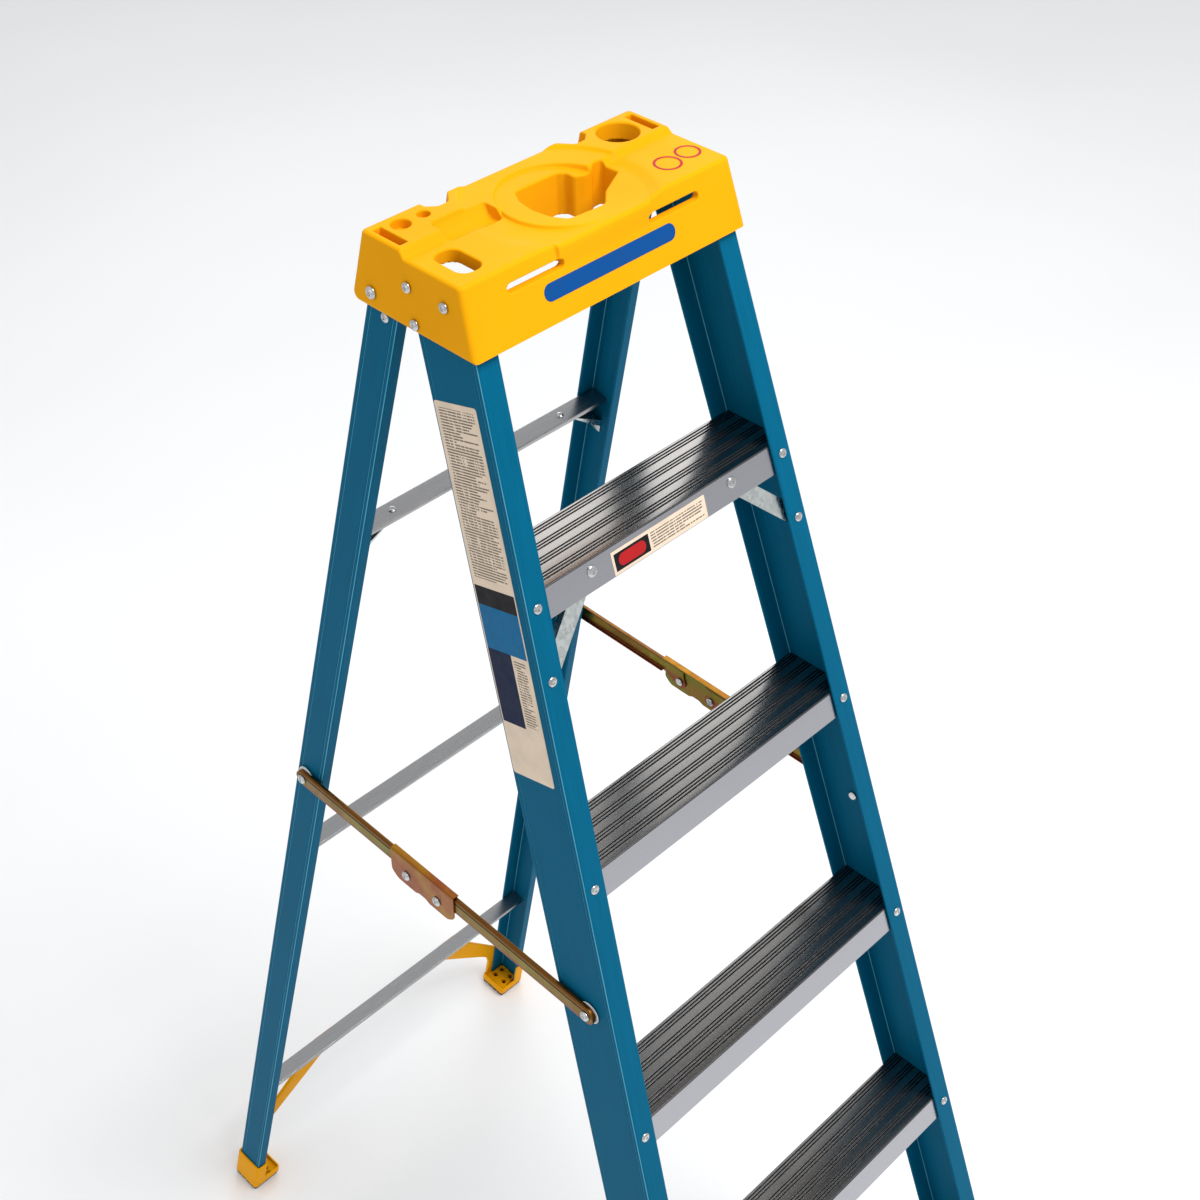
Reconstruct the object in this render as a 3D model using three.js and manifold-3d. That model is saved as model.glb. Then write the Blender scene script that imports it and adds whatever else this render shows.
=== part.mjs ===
// A fibreglass step ladder: five steps and a moulded cap on the front section, a hinged rear
// section, and a folding spreader on each side. Millimetres, +Z up, +X to the climber's right.
// The climbing side faces -Y. The origin is on the floor, at the middle of the footprint.
import * as THREE from "three";
import { mergeVertices } from "three/addons/utils/BufferGeometryUtils.js";
import Module from "manifold-3d";

const wasm = await Module();
wasm.setup();

// ---- Driving dimensions ----
const GAP = 0.3; // left between pieces that touch
const FIT = 0.4; // left between a piece and the leaning channel round it
const BIG = 400; // reach of a cutter past the piece that it cuts

// A rail is a straight channel with its web outside and its flanges pointing inwards. leanX and
// leanY say how far its outer front corner moves for each millimetre of height.
const FRONT_RAIL = {
  floorX: 275.7,
  floorY: -533.1,
  leanX: -0.066,
  leanY: 0.2905,
  web: 78,
  frontFlange: 25.3,
  backFlange: 25.3,
  wall: 3,
  bottom: 14,
  top: 1738,
};
const REAR_RAIL = {
  floorX: 272,
  floorY: 489.6,
  leanX: -0.064,
  leanY: -0.256,
  web: 42.3,
  frontFlange: 13.2,
  backFlange: 25.2,
  wall: 3,
  bottom: 14,
  top: 1717,
};

// Side profile of the cap, and how its end walls spread downwards.
const CAP = {
  bottom: 1681.6,
  bottomHalfWidth: 172,
  endSlope: 0.068,
  wall: 2.6,
  frontTop: 1747,
  discTop: 1750,
  ringTop: 1753.2,
  backTop: 1756,
  frontBottomY: -52,
  frontTopY: -33.5,
  ledgeFootY: 40,
  ledgeTopY: 46.5,
  backTopY: 99.1,
  backBottomY: 114.3,
  topThickness: 3.5,
};
const HINGE = { y: 85.8, z: 1699.5, shank: 4 };

const STEP_RISE = 292;
const STEP_COUNT = 5;
const STEP = {
  thickness: 2.2,
  tread: 2.8,
  edge: 1.5,
  apron: 31.1,
  lip: 8,
  lipHeight: 2,
  bead: 4,
  beadHeight: 3,
  grooveWidth: 1.6,
  grooveDepth: 0.8,
  grooveSlope: 0.2,
};
const GROOVE_GROUPS = [9, 27, 45, 63]; // depth of each group's first groove, from the front edge
const GROOVES_PER_GROUP = 3;
const GROOVE_PITCH = 3.6;

// A rear bar is a channel whose flat top is square to the leaning rail. Tops are of its back edge.
const REAR_BAR_TOPS = { low: 267, middle: 853, top: 1391 };
const REAR_BAR = { depth: 22.4, thickness: 1.8, frontLip: 6, backLip: 32 };

// A step's brace runs from its front apron down to the rail's front flange. Drops are from the
// tread, footInset is from the rail's outer corner, and depth is from the rail's front face.
const STEP_BRACE = {
  radius: 9,
  flange: 7,
  plate: 1.6,
  topDrop: 13,
  footDrop: 84,
  footInset: 13.5,
  span: 75,
  depth: 8.3,
  slant: 0.065,
  flangeStart: 0.17,
  flangeEnd: 0.85,
};
// The top rear bar's brace is a bent strap from under the bar down to the rail's web, with a lip
// along its front edge. reach is how far from the web its slope starts.
const REAR_BRACE = { plate: 1.6, reach: 52, drop: 36, tab: 20, foot: 18, lip: 9 };

const SHOE = {
  wall: 3.1,
  sole: 6,
  reach: 42,
  floor: 22,
  sideWall: 15,
  frontHeight: 84,
  rearHeight: 66,
  holeRadius: 3.6,
  holeInsets: [10, 25],
  holeSpread: 10,
};
const REAR_ARM = { plate: 2.4, rim: 5.3, rimWidth: 2.2 };

const SPREADER = {
  front: [-208.3, 1001.5],
  rear: [257.6, 1002.8],
  kneeFront: 227.3,
  kneeRear: 278.3,
  kneeDrop: 12.6,
  lobe: 9.5,
  halfHeight: 11,
  plate: 1.6,
  flange: 5.2,
  innerX: 211.3,
  shank: 3.5,
  washerRadius: 13,
  lobeStart: 24, // these three are distances before the knee pivot, along the arm
  cutStart: 30,
  cutEnd: 26,
};
// The knee's outer plate: how far it reaches past each pivot, and the waist between its two lobes.
const KNEE_PLATE = { front: 29, rear: 25, drop: 16, lobe: 15, waist: 20, waistRise: 3, cornerRise: 8 };
const SPREADER_OUTER_X = SPREADER.innerX + SPREADER.flange;
const LINK_X = SPREADER_OUTER_X + GAP;

// ---- Materials ----
const paint = (color, roughness, metalness) =>
  new THREE.MeshStandardMaterial({ color, roughness, metalness });
const CAP_PLASTIC = paint(0xffc800, 0.45, 0);
const FIBREGLASS = paint(0x00668f, 0.5, 0);
const ALUMINIUM = paint(0x9a9a98, 0.4, 0.9);
const GALVANISED = paint(0xd0d2d0, 0.35, 1);
const ZINC = paint(0x9c7a30, 0.35, 0.9);
const RIVET_STEEL = paint(0xc8c8c8, 0.25, 1);
const RUBBER = paint(0x1c1c1c, 0.9, 0);
const NYLON = paint(0xf2f2ee, 0.6, 0);
const LABEL = paint(0xe9e4d4, 0.6, 0);

// ---- Geometry helpers ----

// Volume enclosed by an indexed mesh: negative when its faces point inwards.
function signedVolume(geometry) {
  const { array } = geometry.attributes.position;
  const index = geometry.index.array;
  const corners = [new THREE.Vector3(), new THREE.Vector3(), new THREE.Vector3()];
  let sum = 0;
  for (let i = 0; i < index.length; i += 3) {
    corners.forEach((corner, k) => corner.fromArray(array, 3 * index[i + k]));
    sum += corners[0].dot(corners[1].cross(corners[2]));
  }
  return sum / 6;
}

// The same surface with shared vertices and its faces pointing out.
function closed(geometry) {
  geometry.deleteAttribute("normal");
  geometry.deleteAttribute("uv");
  const merged = mergeVertices(geometry, 1e-3);
  if (signedVolume(merged) < 0) {
    const index = merged.index.array;
    for (let i = 0; i < index.length; i += 3) {
      [index[i + 1], index[i + 2]] = [index[i + 2], index[i + 1]];
    }
  }
  return merged;
}

// A prism over an outline, from 0 to 1 along its third axis, with each vertex then moved by place.
function prism(outline, place) {
  const shape = new THREE.Shape(outline.map(([a, b]) => new THREE.Vector2(a, b)));
  const geometry = new THREE.ExtrudeGeometry(shape, { depth: 1, bevelEnabled: false });
  const position = geometry.attributes.position;
  for (let i = 0; i < position.count; i++) {
    const moved = place(position.getX(i), position.getY(i), position.getZ(i));
    position.setXYZ(i, moved.x, moved.y, moved.z);
  }
  return closed(geometry);
}

const mix = (a, b, t) => a + (b - a) * t;
const xyz = (x, y, z) => new THREE.Vector3(x, y, z);

// Prisms along the frame's axes: the outline is in the two axes that are left.
const alongX = (outline, x0, x1) => prism(outline, (y, z, t) => xyz(mix(x0, x1, t), y, z));
const alongZ = (outline, z0, z1) => prism(outline, (x, y, t) => xyz(x, y, mix(z0, z1, t)));

const box = (x0, x1, y0, y1) => [
  [x0, y0],
  [x1, y0],
  [x1, y1],
  [x0, y1],
];

// Points on an arc about a centre, in degrees from one angle to the other.
function arc([cx, cy], radius, from, to, steps) {
  const points = [];
  for (let i = 0; i <= steps; i++) {
    const angle = THREE.MathUtils.degToRad(mix(from, to, i / steps));
    points.push([cx + radius * Math.cos(angle), cy + radius * Math.sin(angle)]);
  }
  return points;
}

const circle = (centre, radius, steps = 20) => arc(centre, radius, 0, 360, steps).slice(0, -1);

// A rectangle with round corners.
function roundedBox(x0, x1, y0, y1, radius, steps = 3) {
  return [
    ...arc([x1 - radius, y0 + radius], radius, -90, 0, steps),
    ...arc([x1 - radius, y1 - radius], radius, 0, 90, steps),
    ...arc([x0 + radius, y1 - radius], radius, 90, 180, steps),
    ...arc([x0 + radius, y0 + radius], radius, 180, 270, steps),
  ];
}

// An outline moved outwards by a distance, corner by corner. It runs anticlockwise.
function grown(outline, distance) {
  return outline.map((point, i) => {
    const before = outline[(i + outline.length - 1) % outline.length];
    const after = outline[(i + 1) % outline.length];
    const a = new THREE.Vector2(point[1] - before[1], before[0] - point[0]).normalize();
    const b = new THREE.Vector2(after[1] - point[1], point[0] - after[0]).normalize();
    const miter = a.clone().add(b);
    miter.multiplyScalar((2 * distance) / miter.lengthSq());
    return [point[0] + miter.x, point[1] + miter.y];
  });
}

// Booleans on closed geometries.
function solid(geometry) {
  return new wasm.Manifold(
    new wasm.Mesh({
      numProp: 3,
      vertProperties: geometry.attributes.position.array,
      triVerts: new Uint32Array(geometry.index.array),
    }),
  );
}

function geometryOf(manifold) {
  const { vertProperties, triVerts } = manifold.getMesh();
  const geometry = new THREE.BufferGeometry();
  geometry.setAttribute("position", new THREE.BufferAttribute(vertProperties, 3));
  geometry.setIndex(new THREE.BufferAttribute(triVerts, 1));
  return geometry;
}

// One body joined from some geometries, with others cut away.
function carve(added, removed = []) {
  let body = solid(added[0]);
  added.slice(1).forEach((geometry) => (body = body.add(solid(geometry))));
  removed.forEach((geometry) => (body = body.subtract(solid(geometry))));
  return geometryOf(body);
}

// A round cutter along X, for a pivot or a rivet.
function boreX(y, z, radius, x0 = 0, x1 = BIG) {
  return alongX(circle([y, z], radius, 12), x0, x1);
}

// A domed rivet along X, as one turned body: head outside, shank, and clenched tail inside.
function rivetX([y, z], { shank, headRadius, headHeight, headX, tailRadius, tailHeight, tailX }) {
  const profile = [
    [0, tailX - tailHeight],
    [0.7 * tailRadius, tailX - tailHeight],
    [tailRadius, tailX],
    [shank, tailX],
    [shank, headX],
    [headRadius, headX],
    [0.8 * headRadius, headX + 0.65 * headHeight],
    [0, headX + headHeight],
  ].map(([radius, x]) => new THREE.Vector2(radius, x));
  const geometry = new THREE.LatheGeometry(profile, 12);
  geometry.rotateZ(-Math.PI / 2);
  geometry.translate(0, y, z);
  return closed(geometry);
}

// A flat ring along X.
function washerX([y, z], radius, hole, x0, x1) {
  return carve([alongX(circle([y, z], radius, 20), x0, x1)], [boreX(y, z, hole, x0 - 1, x1 + 1)]);
}

// ---- Rails ----

// Unit vectors of the right-hand rail: up its length, backwards, and inwards from its web.
function railAxes(rail) {
  const along = xyz(rail.leanX, rail.leanY, 1).normalize();
  const back = xyz(0, 1, -rail.leanY).normalize();
  const inward = new THREE.Vector3().crossVectors(along, back).normalize();
  return { along, back, inward };
}

// A point of the rail's section, slid along the rail to a height.
function railPoint(rail, inset, depth, height) {
  const { along, back, inward } = railAxes(rail);
  const point = xyz(rail.floorX, rail.floorY, 0);
  point.addScaledVector(inward, inset).addScaledVector(back, depth);
  return point.addScaledVector(along, (height - point.z) / along.z);
}

const railFront = (rail, z) => rail.floorY + rail.leanY * z; // y of the front face at a height
const railDepth = (rail) => rail.web * Math.hypot(1, rail.leanY); // from front to back, level
const levelWall = (rail) => rail.wall * Math.hypot(1, rail.leanY); // a flange's thickness, level

// x of the plane that lies a given inset inside the web's outer face.
function webX(rail, inset, y, z) {
  const { inward } = railAxes(rail);
  const point = railPoint(rail, inset, 0, 0);
  return point.x - (inward.y * (y - point.y) + inward.z * (z - point.z)) / inward.x;
}

// A prism over an outline of inset and depth, along the rail between two heights.
const alongRail = (rail, outline, z0, z1) =>
  prism(outline, (inset, depth, t) => railPoint(rail, inset, depth, mix(z0, z1, t)));

const railSection = ({ web, frontFlange, backFlange, wall }, round = 2) => [
  [round, 0],
  [frontFlange, 0],
  [frontFlange, wall],
  [wall, wall],
  [wall, web - wall],
  [backFlange, web - wall],
  [backFlange, web],
  [round, web],
  [0, web - round],
  [0, round],
];

function railGeometry(rail, bores) {
  const channel = alongRail(rail, railSection(rail), rail.bottom, rail.top);
  return carve(
    [channel],
    bores.map(([y, z, radius]) => boreX(y, z, radius)),
  );
}

// ---- Cap ----
const capEndX = (z, inset = 0) => CAP.bottomHalfWidth - CAP.endSlope * (z - CAP.bottom) - inset;

// A body of the cap's whole width over a side profile of y and z.
const acrossCap = (profile, inset) =>
  prism(profile, (y, z, t) => xyz(mix(-1, 1, t) * capEndX(z, inset), y, z));

const CAP_PROFILE = [
  [CAP.frontBottomY, CAP.bottom],
  [103.2, 1682.6],
  [111.2, 1687],
  [CAP.backBottomY, 1695],
  [CAP.backTopY, CAP.backTop],
  [CAP.ledgeTopY, CAP.backTop - 2],
  [CAP.ledgeFootY, CAP.frontTop],
  [CAP.frontTopY, CAP.frontTop],
];

const CAP_CAVITY = [
  [CAP.frontBottomY - 2 + 1.05 * CAP.wall, CAP.bottom - 8],
  [CAP.backBottomY - 1.05 * CAP.wall, CAP.bottom - 8],
  [CAP.backBottomY - 1.05 * CAP.wall, 1695],
  [CAP.backTopY - 0.5 * CAP.wall, CAP.backTop - CAP.topThickness - 2],
  [CAP.ledgeTopY + 3, CAP.backTop - CAP.topThickness - 2],
  [CAP.ledgeFootY + 3, CAP.frontTop - CAP.topThickness],
  [CAP.frontTopY + 1.05 * CAP.wall - 1, CAP.frontTop - CAP.topThickness],
];

// Openings in the top, as outlines of x and y.
const TOOL_WELL = [
  [-28, 4],
  [-19, -10],
  [23, -10],
  [28, -8],
  [43, 7],
  [63, 18],
  [78, 26],
  [77, 47],
  [67, 47],
  [61, 43],
  [51, 42],
  [41, 46],
  [40, 56],
  [33, 61],
  [-19, 61],
  [-28, 44],
  [-31, 24],
];
const GRIP_HOLE = roundedBox(-149, -123, -17, 28, 11);
const ROUND_WELL = circle([124, 71.5], 21, 24);
const BLIND_HOLES = [
  circle([-136, 81], 9.5),
  circle([-110, 81], 6.3, 16),
];
const BACK_NOTCH = [
  [66, 130],
  [67, 99],
  [79, 83],
  [91, 83],
  [100, 91],
  [100, 130],
];
const NOTCH_WALL = [
  [62, 98.5],
  [76, 80.5],
  [94, 80.5],
  [103.5, 90],
  [103.5, 98.5],
];
const END_SLOT = box(151.5, 160.5, 52, 90);
const FACE_SLOT = box(53, 119, 1725.5, 1734.4); // x and z
const TRAY = { x0: -118, x1: -54, backY: 64, footY: 43, frontY: 36, floor: 1743.5 };
const DISC = { centre: [3, 27], radius: 57, ringRadius: 88 };
const POCKET_WALL = 2.5;
const POCKET_FLOORS = { notch: 1744, slot: 1742, cup: 1746.5 };
const WELL_SKIRTS = { tool: 1706, round: 1742, grip: 1738 }; // how far down each well's wall goes

const mirroredX = (outline) => outline.map(([x, y]) => [-x, y]).reverse();

// y and z of the rivets that hold the front rails in the cap.
const CAP_RIVETS = { front: [-13.2, 1723.9], rear: [35.7, 1724.2], low: [26.2, 1691.3] };
const CAP_RIVET_SHANK = 3;

function capGeometry() {
  const above = CAP.backTop + 20;
  const below = CAP.bottom + 8;
  const tray = [
    [TRAY.backY, above],
    [TRAY.backY, CAP.backTop + 0.5],
    [TRAY.footY, TRAY.floor],
    [TRAY.frontY, TRAY.floor],
    [TRAY.frontY, above],
  ];
  const notches = [BACK_NOTCH, mirroredX(BACK_NOTCH)];
  const notchWalls = [NOTCH_WALL, mirroredX(NOTCH_WALL)];
  const slots = [END_SLOT, mirroredX(END_SLOT)];
  const walled = (outline, from, to) => alongZ(grown(outline, POCKET_WALL), from, to);
  const underFront = CAP.frontTop - 1;
  const underBack = CAP.backTop - 2.5;
  const { notch, slot, cup } = POCKET_FLOORS;
  const wells = [
    walled(TOOL_WELL, WELL_SKIRTS.tool, underFront),
    walled(GRIP_HOLE, WELL_SKIRTS.grip, underFront),
    walled(ROUND_WELL, WELL_SKIRTS.round, underBack),
    ...BLIND_HOLES.map((hole) => walled(hole, cup - POCKET_WALL, underBack)),
    ...slots.map((outline) => walled(outline, slot - POCKET_WALL, underBack)),
    ...notchWalls.map((outline) => alongZ(outline, notch - POCKET_WALL, underBack)),
    alongX(box(TRAY.frontY - 3, TRAY.backY - 8, 1740, underFront), TRAY.x0 - 3, TRAY.x1 + 3),
  ];
  const openings = [
    alongZ(TOOL_WELL, below, above),
    alongZ(GRIP_HOLE, below, above),
    alongZ(ROUND_WELL, below, above),
    ...BLIND_HOLES.map((hole) => alongZ(hole, cup, above)),
    alongX(tray, TRAY.x0, TRAY.x1),
    ...notches.map((outline) => alongZ(outline, notch, above)),
    ...slots.map((outline) => alongZ(outline, slot, above)),
    ...[FACE_SLOT, mirroredX(FACE_SLOT)].map((outline) => alongY(outline, -80, 0)),
    alongX(circle([HINGE.y, HINGE.z], HINGE.shank + GAP, 12), -BIG, BIG),
    ...Object.values(CAP_RIVETS).map((at) =>
      alongX(circle(at, CAP_RIVET_SHANK + GAP, 12), -BIG, BIG),
    ),
  ];
  const lowered = [
    alongZ(circle(DISC.centre, DISC.ringRadius, 40), CAP.ringTop, above),
    alongZ(circle(DISC.centre, DISC.radius, 36), CAP.discTop, above),
  ];
  const disc = alongZ(circle(DISC.centre, DISC.radius, 36), CAP.frontTop - 1, CAP.discTop);
  const shell = carve([acrossCap(CAP_PROFILE, 0)], [acrossCap(CAP_CAVITY, CAP.wall), ...lowered]);
  return carve([shell, disc, ...wells], openings);
}

// A prism along Y over an outline of x and z.
function alongY(outline, y0, y1) {
  return prism(outline, (x, z, t) => xyz(x, mix(y0, y1, t), z));
}

// ---- Steps and their braces ----

// Section of a step: depth behind the rail's front face, and height from the tread.
function stepSection() {
  const front = levelWall(FRONT_RAIL) + FIT;
  const back = railDepth(FRONT_RAIL) - front;
  const grooves = [];
  for (const start of GROOVE_GROUPS) {
    for (let i = 0; i < GROOVES_PER_GROUP; i++) {
      const edge = front + start + i * GROOVE_PITCH;
      grooves.push(
        [edge, 0],
        [edge + STEP.grooveSlope, -STEP.grooveDepth],
        [edge + STEP.grooveWidth - STEP.grooveSlope, -STEP.grooveDepth],
        [edge + STEP.grooveWidth, 0],
      );
    }
  }
  const { apron, edge, thickness, tread, lip, lipHeight, bead, beadHeight } = STEP;
  return [
    [front, -apron],
    [front, -edge],
    [front + edge, 0],
    ...grooves,
    [back - edge, 0],
    [back, -edge],
    [back, -apron],
    [back - lip, -apron],
    [back - lip, lipHeight - apron],
    [back - thickness, lipHeight - apron],
    [back - thickness, -tread],
    [front + thickness, -tread],
    [front + thickness, beadHeight - apron],
    [front + bead, beadHeight - apron],
    [front + bead, -apron],
  ];
}

// A body that fills the width between the rails' webs, over a section that leans with the rails.
function betweenRails(rail, section, height) {
  return prism(section, (depth, dz, t) => {
    const z = height + dz;
    const y = railFront(rail, z) + depth;
    return xyz(mix(-1, 1, t) * (webX(rail, rail.wall, y, z) - GAP), y, z);
  });
}

// A flat strap with rounded ends between two points of an outline plane.
function strap([ax, az], [bx, bz], radius, steps = 4) {
  const heading = THREE.MathUtils.radToDeg(Math.atan2(bz - az, bx - ax));
  return [
    ...arc([bx, bz], radius, heading - 90, heading + 90, steps),
    ...arc([ax, az], radius, heading + 90, heading + 270, steps),
  ];
}

// A diagonal channel from the step's front apron down to the rail's front flange.
function stepBrace(height) {
  const { radius, flange, plate, topDrop, footDrop, footInset, span, depth, slant } = STEP_BRACE;
  const foot = [FRONT_RAIL.floorX + FRONT_RAIL.leanX * (height - footDrop) - footInset, -footDrop];
  const top = [foot[0] - span, -topDrop];
  // The strap comes forward from behind the apron to the flange.
  const place = (v0, v1) => (x, dz, t) => {
    const behind = depth + slant * (dz + STEP.apron) + mix(v0, v1, t);
    return xyz(x, railFront(FRONT_RAIL, height + dz) + behind, height + dz);
  };
  const share = (t) => [mix(top[0], foot[0], t), mix(top[1], foot[1], t)];
  const inner = share(STEP_BRACE.flangeStart);
  const outer = share(STEP_BRACE.flangeEnd);
  return carve(
    [
      prism(strap(top, foot, radius), place(0, plate)),
      prism(strap(inner, outer, radius), place(0, flange)),
    ],
    [prism(strap(inner, outer, radius - plate), place(plate, flange + 2))],
  );
}

// ---- Rear bars and their braces ----

// y and z of a point behind and above a rear bar's back top edge, square to the leaning rail.
function barPoint(height, behind, above) {
  const { leanY } = REAR_RAIL;
  const norm = Math.hypot(1, leanY);
  const edge = railFront(REAR_RAIL, height) + railDepth(REAR_RAIL) - levelWall(REAR_RAIL) - FIT;
  return [edge + (behind + leanY * above) / norm, height + (above - leanY * behind) / norm];
}

function rearBar(height) {
  const { depth, thickness, frontLip, backLip } = REAR_BAR;
  const section = [
    [0, -backLip],
    [0, 0],
    [-depth, 0],
    [-depth, -frontLip],
    [thickness - depth, -frontLip],
    [thickness - depth, -thickness],
    [-thickness, -thickness],
    [-thickness, -backLip],
  ];
  return prism(section, (behind, above, t) => {
    const [y, z] = barPoint(height, behind, above);
    return xyz(mix(-1, 1, t) * (webX(REAR_RAIL, REAR_RAIL.wall, y, z) - GAP), y, z);
  });
}

// The brace's outlines are of its distance from the rail's web and its height from the bar's top.
function rearBrace(height) {
  const { plate, reach, drop, tab, foot, lip } = REAR_BRACE;
  const front = REAR_BAR.thickness + GAP - REAR_BAR.depth;
  const place = (v0, v1) => (inwards, above, t) => {
    const [y, z] = barPoint(height, mix(v0, v1, t), above);
    return xyz(webX(REAR_RAIL, REAR_RAIL.wall, y, z) - GAP - inwards, y, z);
  };
  const under = -REAR_BAR.thickness - GAP;
  const low = under - drop;
  const slope = Math.hypot(reach, drop) / reach;
  const strapOutline = [
    [reach + tab, under],
    [reach, under],
    [0, low],
    [0, low - foot],
    [plate, low - foot],
    [plate, low - plate],
    [reach, under - plate * slope],
    [reach + tab, under - plate],
  ];
  const lipOutline = [
    [reach, under - 0.5 * plate],
    [0.5 * plate, low - 0.5 * plate],
    [0.5 * plate, low - lip],
    [reach - lip, under - lip],
  ];
  return carve([
    prism(strapOutline, place(front, -REAR_BAR.thickness - GAP)),
    prism(lipOutline, place(front, front + plate)),
  ]);
}

// ---- Feet ----

// A moulded shoe round the bottom of a rail, open on the inner side, with its floor on the sole.
function shoe(rail, height) {
  const { reach, sole, floor, sideWall, holeRadius } = SHOE;
  const out = SHOE.wall + FIT;
  const middle = rail.web / 2;
  const holes = SHOE.holeInsets.flatMap((inset) => [
    [inset, middle - SHOE.holeSpread],
    [inset, middle + SHOE.holeSpread],
  ]);
  const outer = roundedBox(-out, reach, -out, rail.web + out, 3, 2);
  const past = reach + 9;
  return carve(
    [alongRail(rail, outer, sole, height)],
    [
      alongRail(rail, box(-FIT, past, -FIT, rail.web + FIT), rail.bottom - GAP, BIG),
      alongRail(rail, box(sideWall, past, -9, rail.web + 9), floor, BIG),
      ...holes.map((at) => alongRail(rail, circle(at, holeRadius, 8), -10, 60)),
    ],
  );
}

// The rear shoe also has an arm, behind the rail, that braces the lowest rear bar: x and z.
const REAR_ARM_OUTLINE = [
  [262, 16],
  [262, 72],
  [160, 203],
  [137, 246],
  [104, 246],
  [106, 206],
  [211, 98],
  [228, 78],
  [236, 54],
  [238, 16],
];

function rearArm() {
  const { plate, rim, rimWidth } = REAR_ARM;
  const front = railDepth(REAR_RAIL) + 2 * GAP;
  const place = (v0, v1) => (x, z, t) =>
    xyz(x, railFront(REAR_RAIL, z) + front + mix(v0, v1, t), z);
  return carve(
    [prism(REAR_ARM_OUTLINE, place(0, rim))],
    [prism(grown(REAR_ARM_OUTLINE, -rimWidth), place(plate, 20))],
  );
}

// A rubber sole under a shoe, with three grooves across it.
function solePad(rail) {
  const { reach, sole, wall } = SHOE;
  const inset = 1.2;
  const out = wall - inset;
  const outline = roundedBox(-out, reach - inset, -out, rail.web + out, 3, 2);
  const grooves = [0.25, 0.5, 0.75].map((share) => {
    const middle = share * rail.web;
    return alongRail(rail, box(-20, reach + 20, middle - 1.5, middle + 1.5), -5, 2);
  });
  return carve([alongRail(rail, outline, 0, sole - GAP)], grooves);
}

// ---- Spreaders ----
const spreaderReach = SPREADER.rear[0] - SPREADER.front[0];
const kneePoint = (distance) => [
  SPREADER.front[0] + distance,
  mix(SPREADER.front[1], SPREADER.rear[1], distance / spreaderReach) - SPREADER.kneeDrop,
];
const KNEE_FRONT = kneePoint(SPREADER.kneeFront);
const KNEE_REAR = kneePoint(SPREADER.kneeRear);

// A channel arm from its rail pivot to its knee pivot, which hangs below the arm's centre line.
// side is 1 when the knee lies behind the pivot and -1 when it lies in front.
function spreaderArm([py, pz], [ky, kz], side) {
  const length = Math.abs(ky - py);
  const drop = pz - kz;
  const h = SPREADER.halfHeight;
  const place = (x0, x1) => (s, t, k) => xyz(mix(x0, x1, k), py + side * s, pz + t);
  const bar = [
    ...arc([0, 0], h, 90, 270, 8),
    [length - SPREADER.lobeStart, -h],
    ...arc([length, -drop], SPREADER.lobe, 245, 360, 5),
    [length + 7, -2],
    [length - 1, h],
  ];
  const hollow = [
    ...arc([0, 0], h - SPREADER.plate, 90, 270, 8),
    [length - SPREADER.cutStart, SPREADER.plate - h],
    [length - SPREADER.cutEnd, -BIG],
    [length + BIG, -BIG],
    [length + BIG, h - SPREADER.plate],
  ];
  const web = SPREADER_OUTER_X - SPREADER.plate;
  return carve(
    [prism(bar, place(SPREADER.innerX, SPREADER_OUTER_X))],
    [
      prism(hollow, place(0, web)),
      boreX(py, pz, SPREADER.shank + GAP),
      boreX(ky, kz, SPREADER.shank + GAP),
    ],
  );
}

// The knee's double-pivot bracket: a plate outside the arms, with a lip over them as the stop.
function spreaderLink() {
  const top = Math.max(SPREADER.front[1], SPREADER.rear[1]) + SPREADER.halfHeight + GAP;
  const plate = SPREADER.plate;
  const low = KNEE_FRONT[1] - KNEE_PLATE.drop;
  const front = KNEE_FRONT[0];
  const rear = KNEE_REAR[0];
  const { lobe, waist, waistRise, cornerRise } = KNEE_PLATE;
  const frontEnd = front - KNEE_PLATE.front;
  const rearEnd = rear + KNEE_PLATE.rear;
  const outline = [
    [frontEnd, top],
    [frontEnd + 2, low + cornerRise],
    [frontEnd + 9, low + 1],
    [front + lobe, low],
    [front + waist, low + waistRise],
    [rear - waist, low + waistRise],
    [rear - lobe, low],
    [rearEnd - 9, low + 1],
    [rearEnd, low + cornerRise],
    [rearEnd, top],
  ];
  const lip = box(frontEnd + 1, rearEnd - 1, top, top + plate);
  return carve(
    [
      alongX(outline, LINK_X, LINK_X + plate),
      alongX(lip, SPREADER.innerX - 1, LINK_X + plate),
    ],
    [KNEE_FRONT, KNEE_REAR].map(([y, z]) => boreX(y, z, SPREADER.shank - 0.05)),
  );
}

// ---- Labels ----
const FILM = 0.3;
const RAIL_LABEL = { depth0: 14.3, depth1: 74.7, along0: 1322, along1: 1709 };
const STEP_LABEL = { x0: -71, x1: 57, top: -6.5, bottom: -30 };

function railLabel() {
  const rail = FRONT_RAIL;
  const { along, back, inward } = railAxes(rail);
  const { depth0, depth1, along0, along1 } = RAIL_LABEL;
  const outline = box(depth0, depth1, along0, along1);
  return prism(outline, (depth, length, t) =>
    xyz(rail.floorX, rail.floorY, 0)
      .addScaledVector(back, depth)
      .addScaledVector(along, length)
      .addScaledVector(inward, -GAP - FILM * t),
  );
}

function stepLabel() {
  const height = STEP_COUNT * STEP_RISE;
  const apronDepth = levelWall(FRONT_RAIL) + FIT;
  const outline = box(STEP_LABEL.x0, STEP_LABEL.x1, STEP_LABEL.bottom, STEP_LABEL.top);
  return prism(outline, (x, dz, t) =>
    xyz(x, railFront(FRONT_RAIL, height + dz) + apronDepth - GAP - FILM * t, height + dz),
  );
}

// ---- Assembly ----
const ladder = new THREE.Group();
const rightSide = new THREE.Group();
const leftSide = new THREE.Group();
leftSide.scale.x = -1; // the left-hand pieces are the right-hand ones mirrored
ladder.add(rightSide, leftSide);

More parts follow.
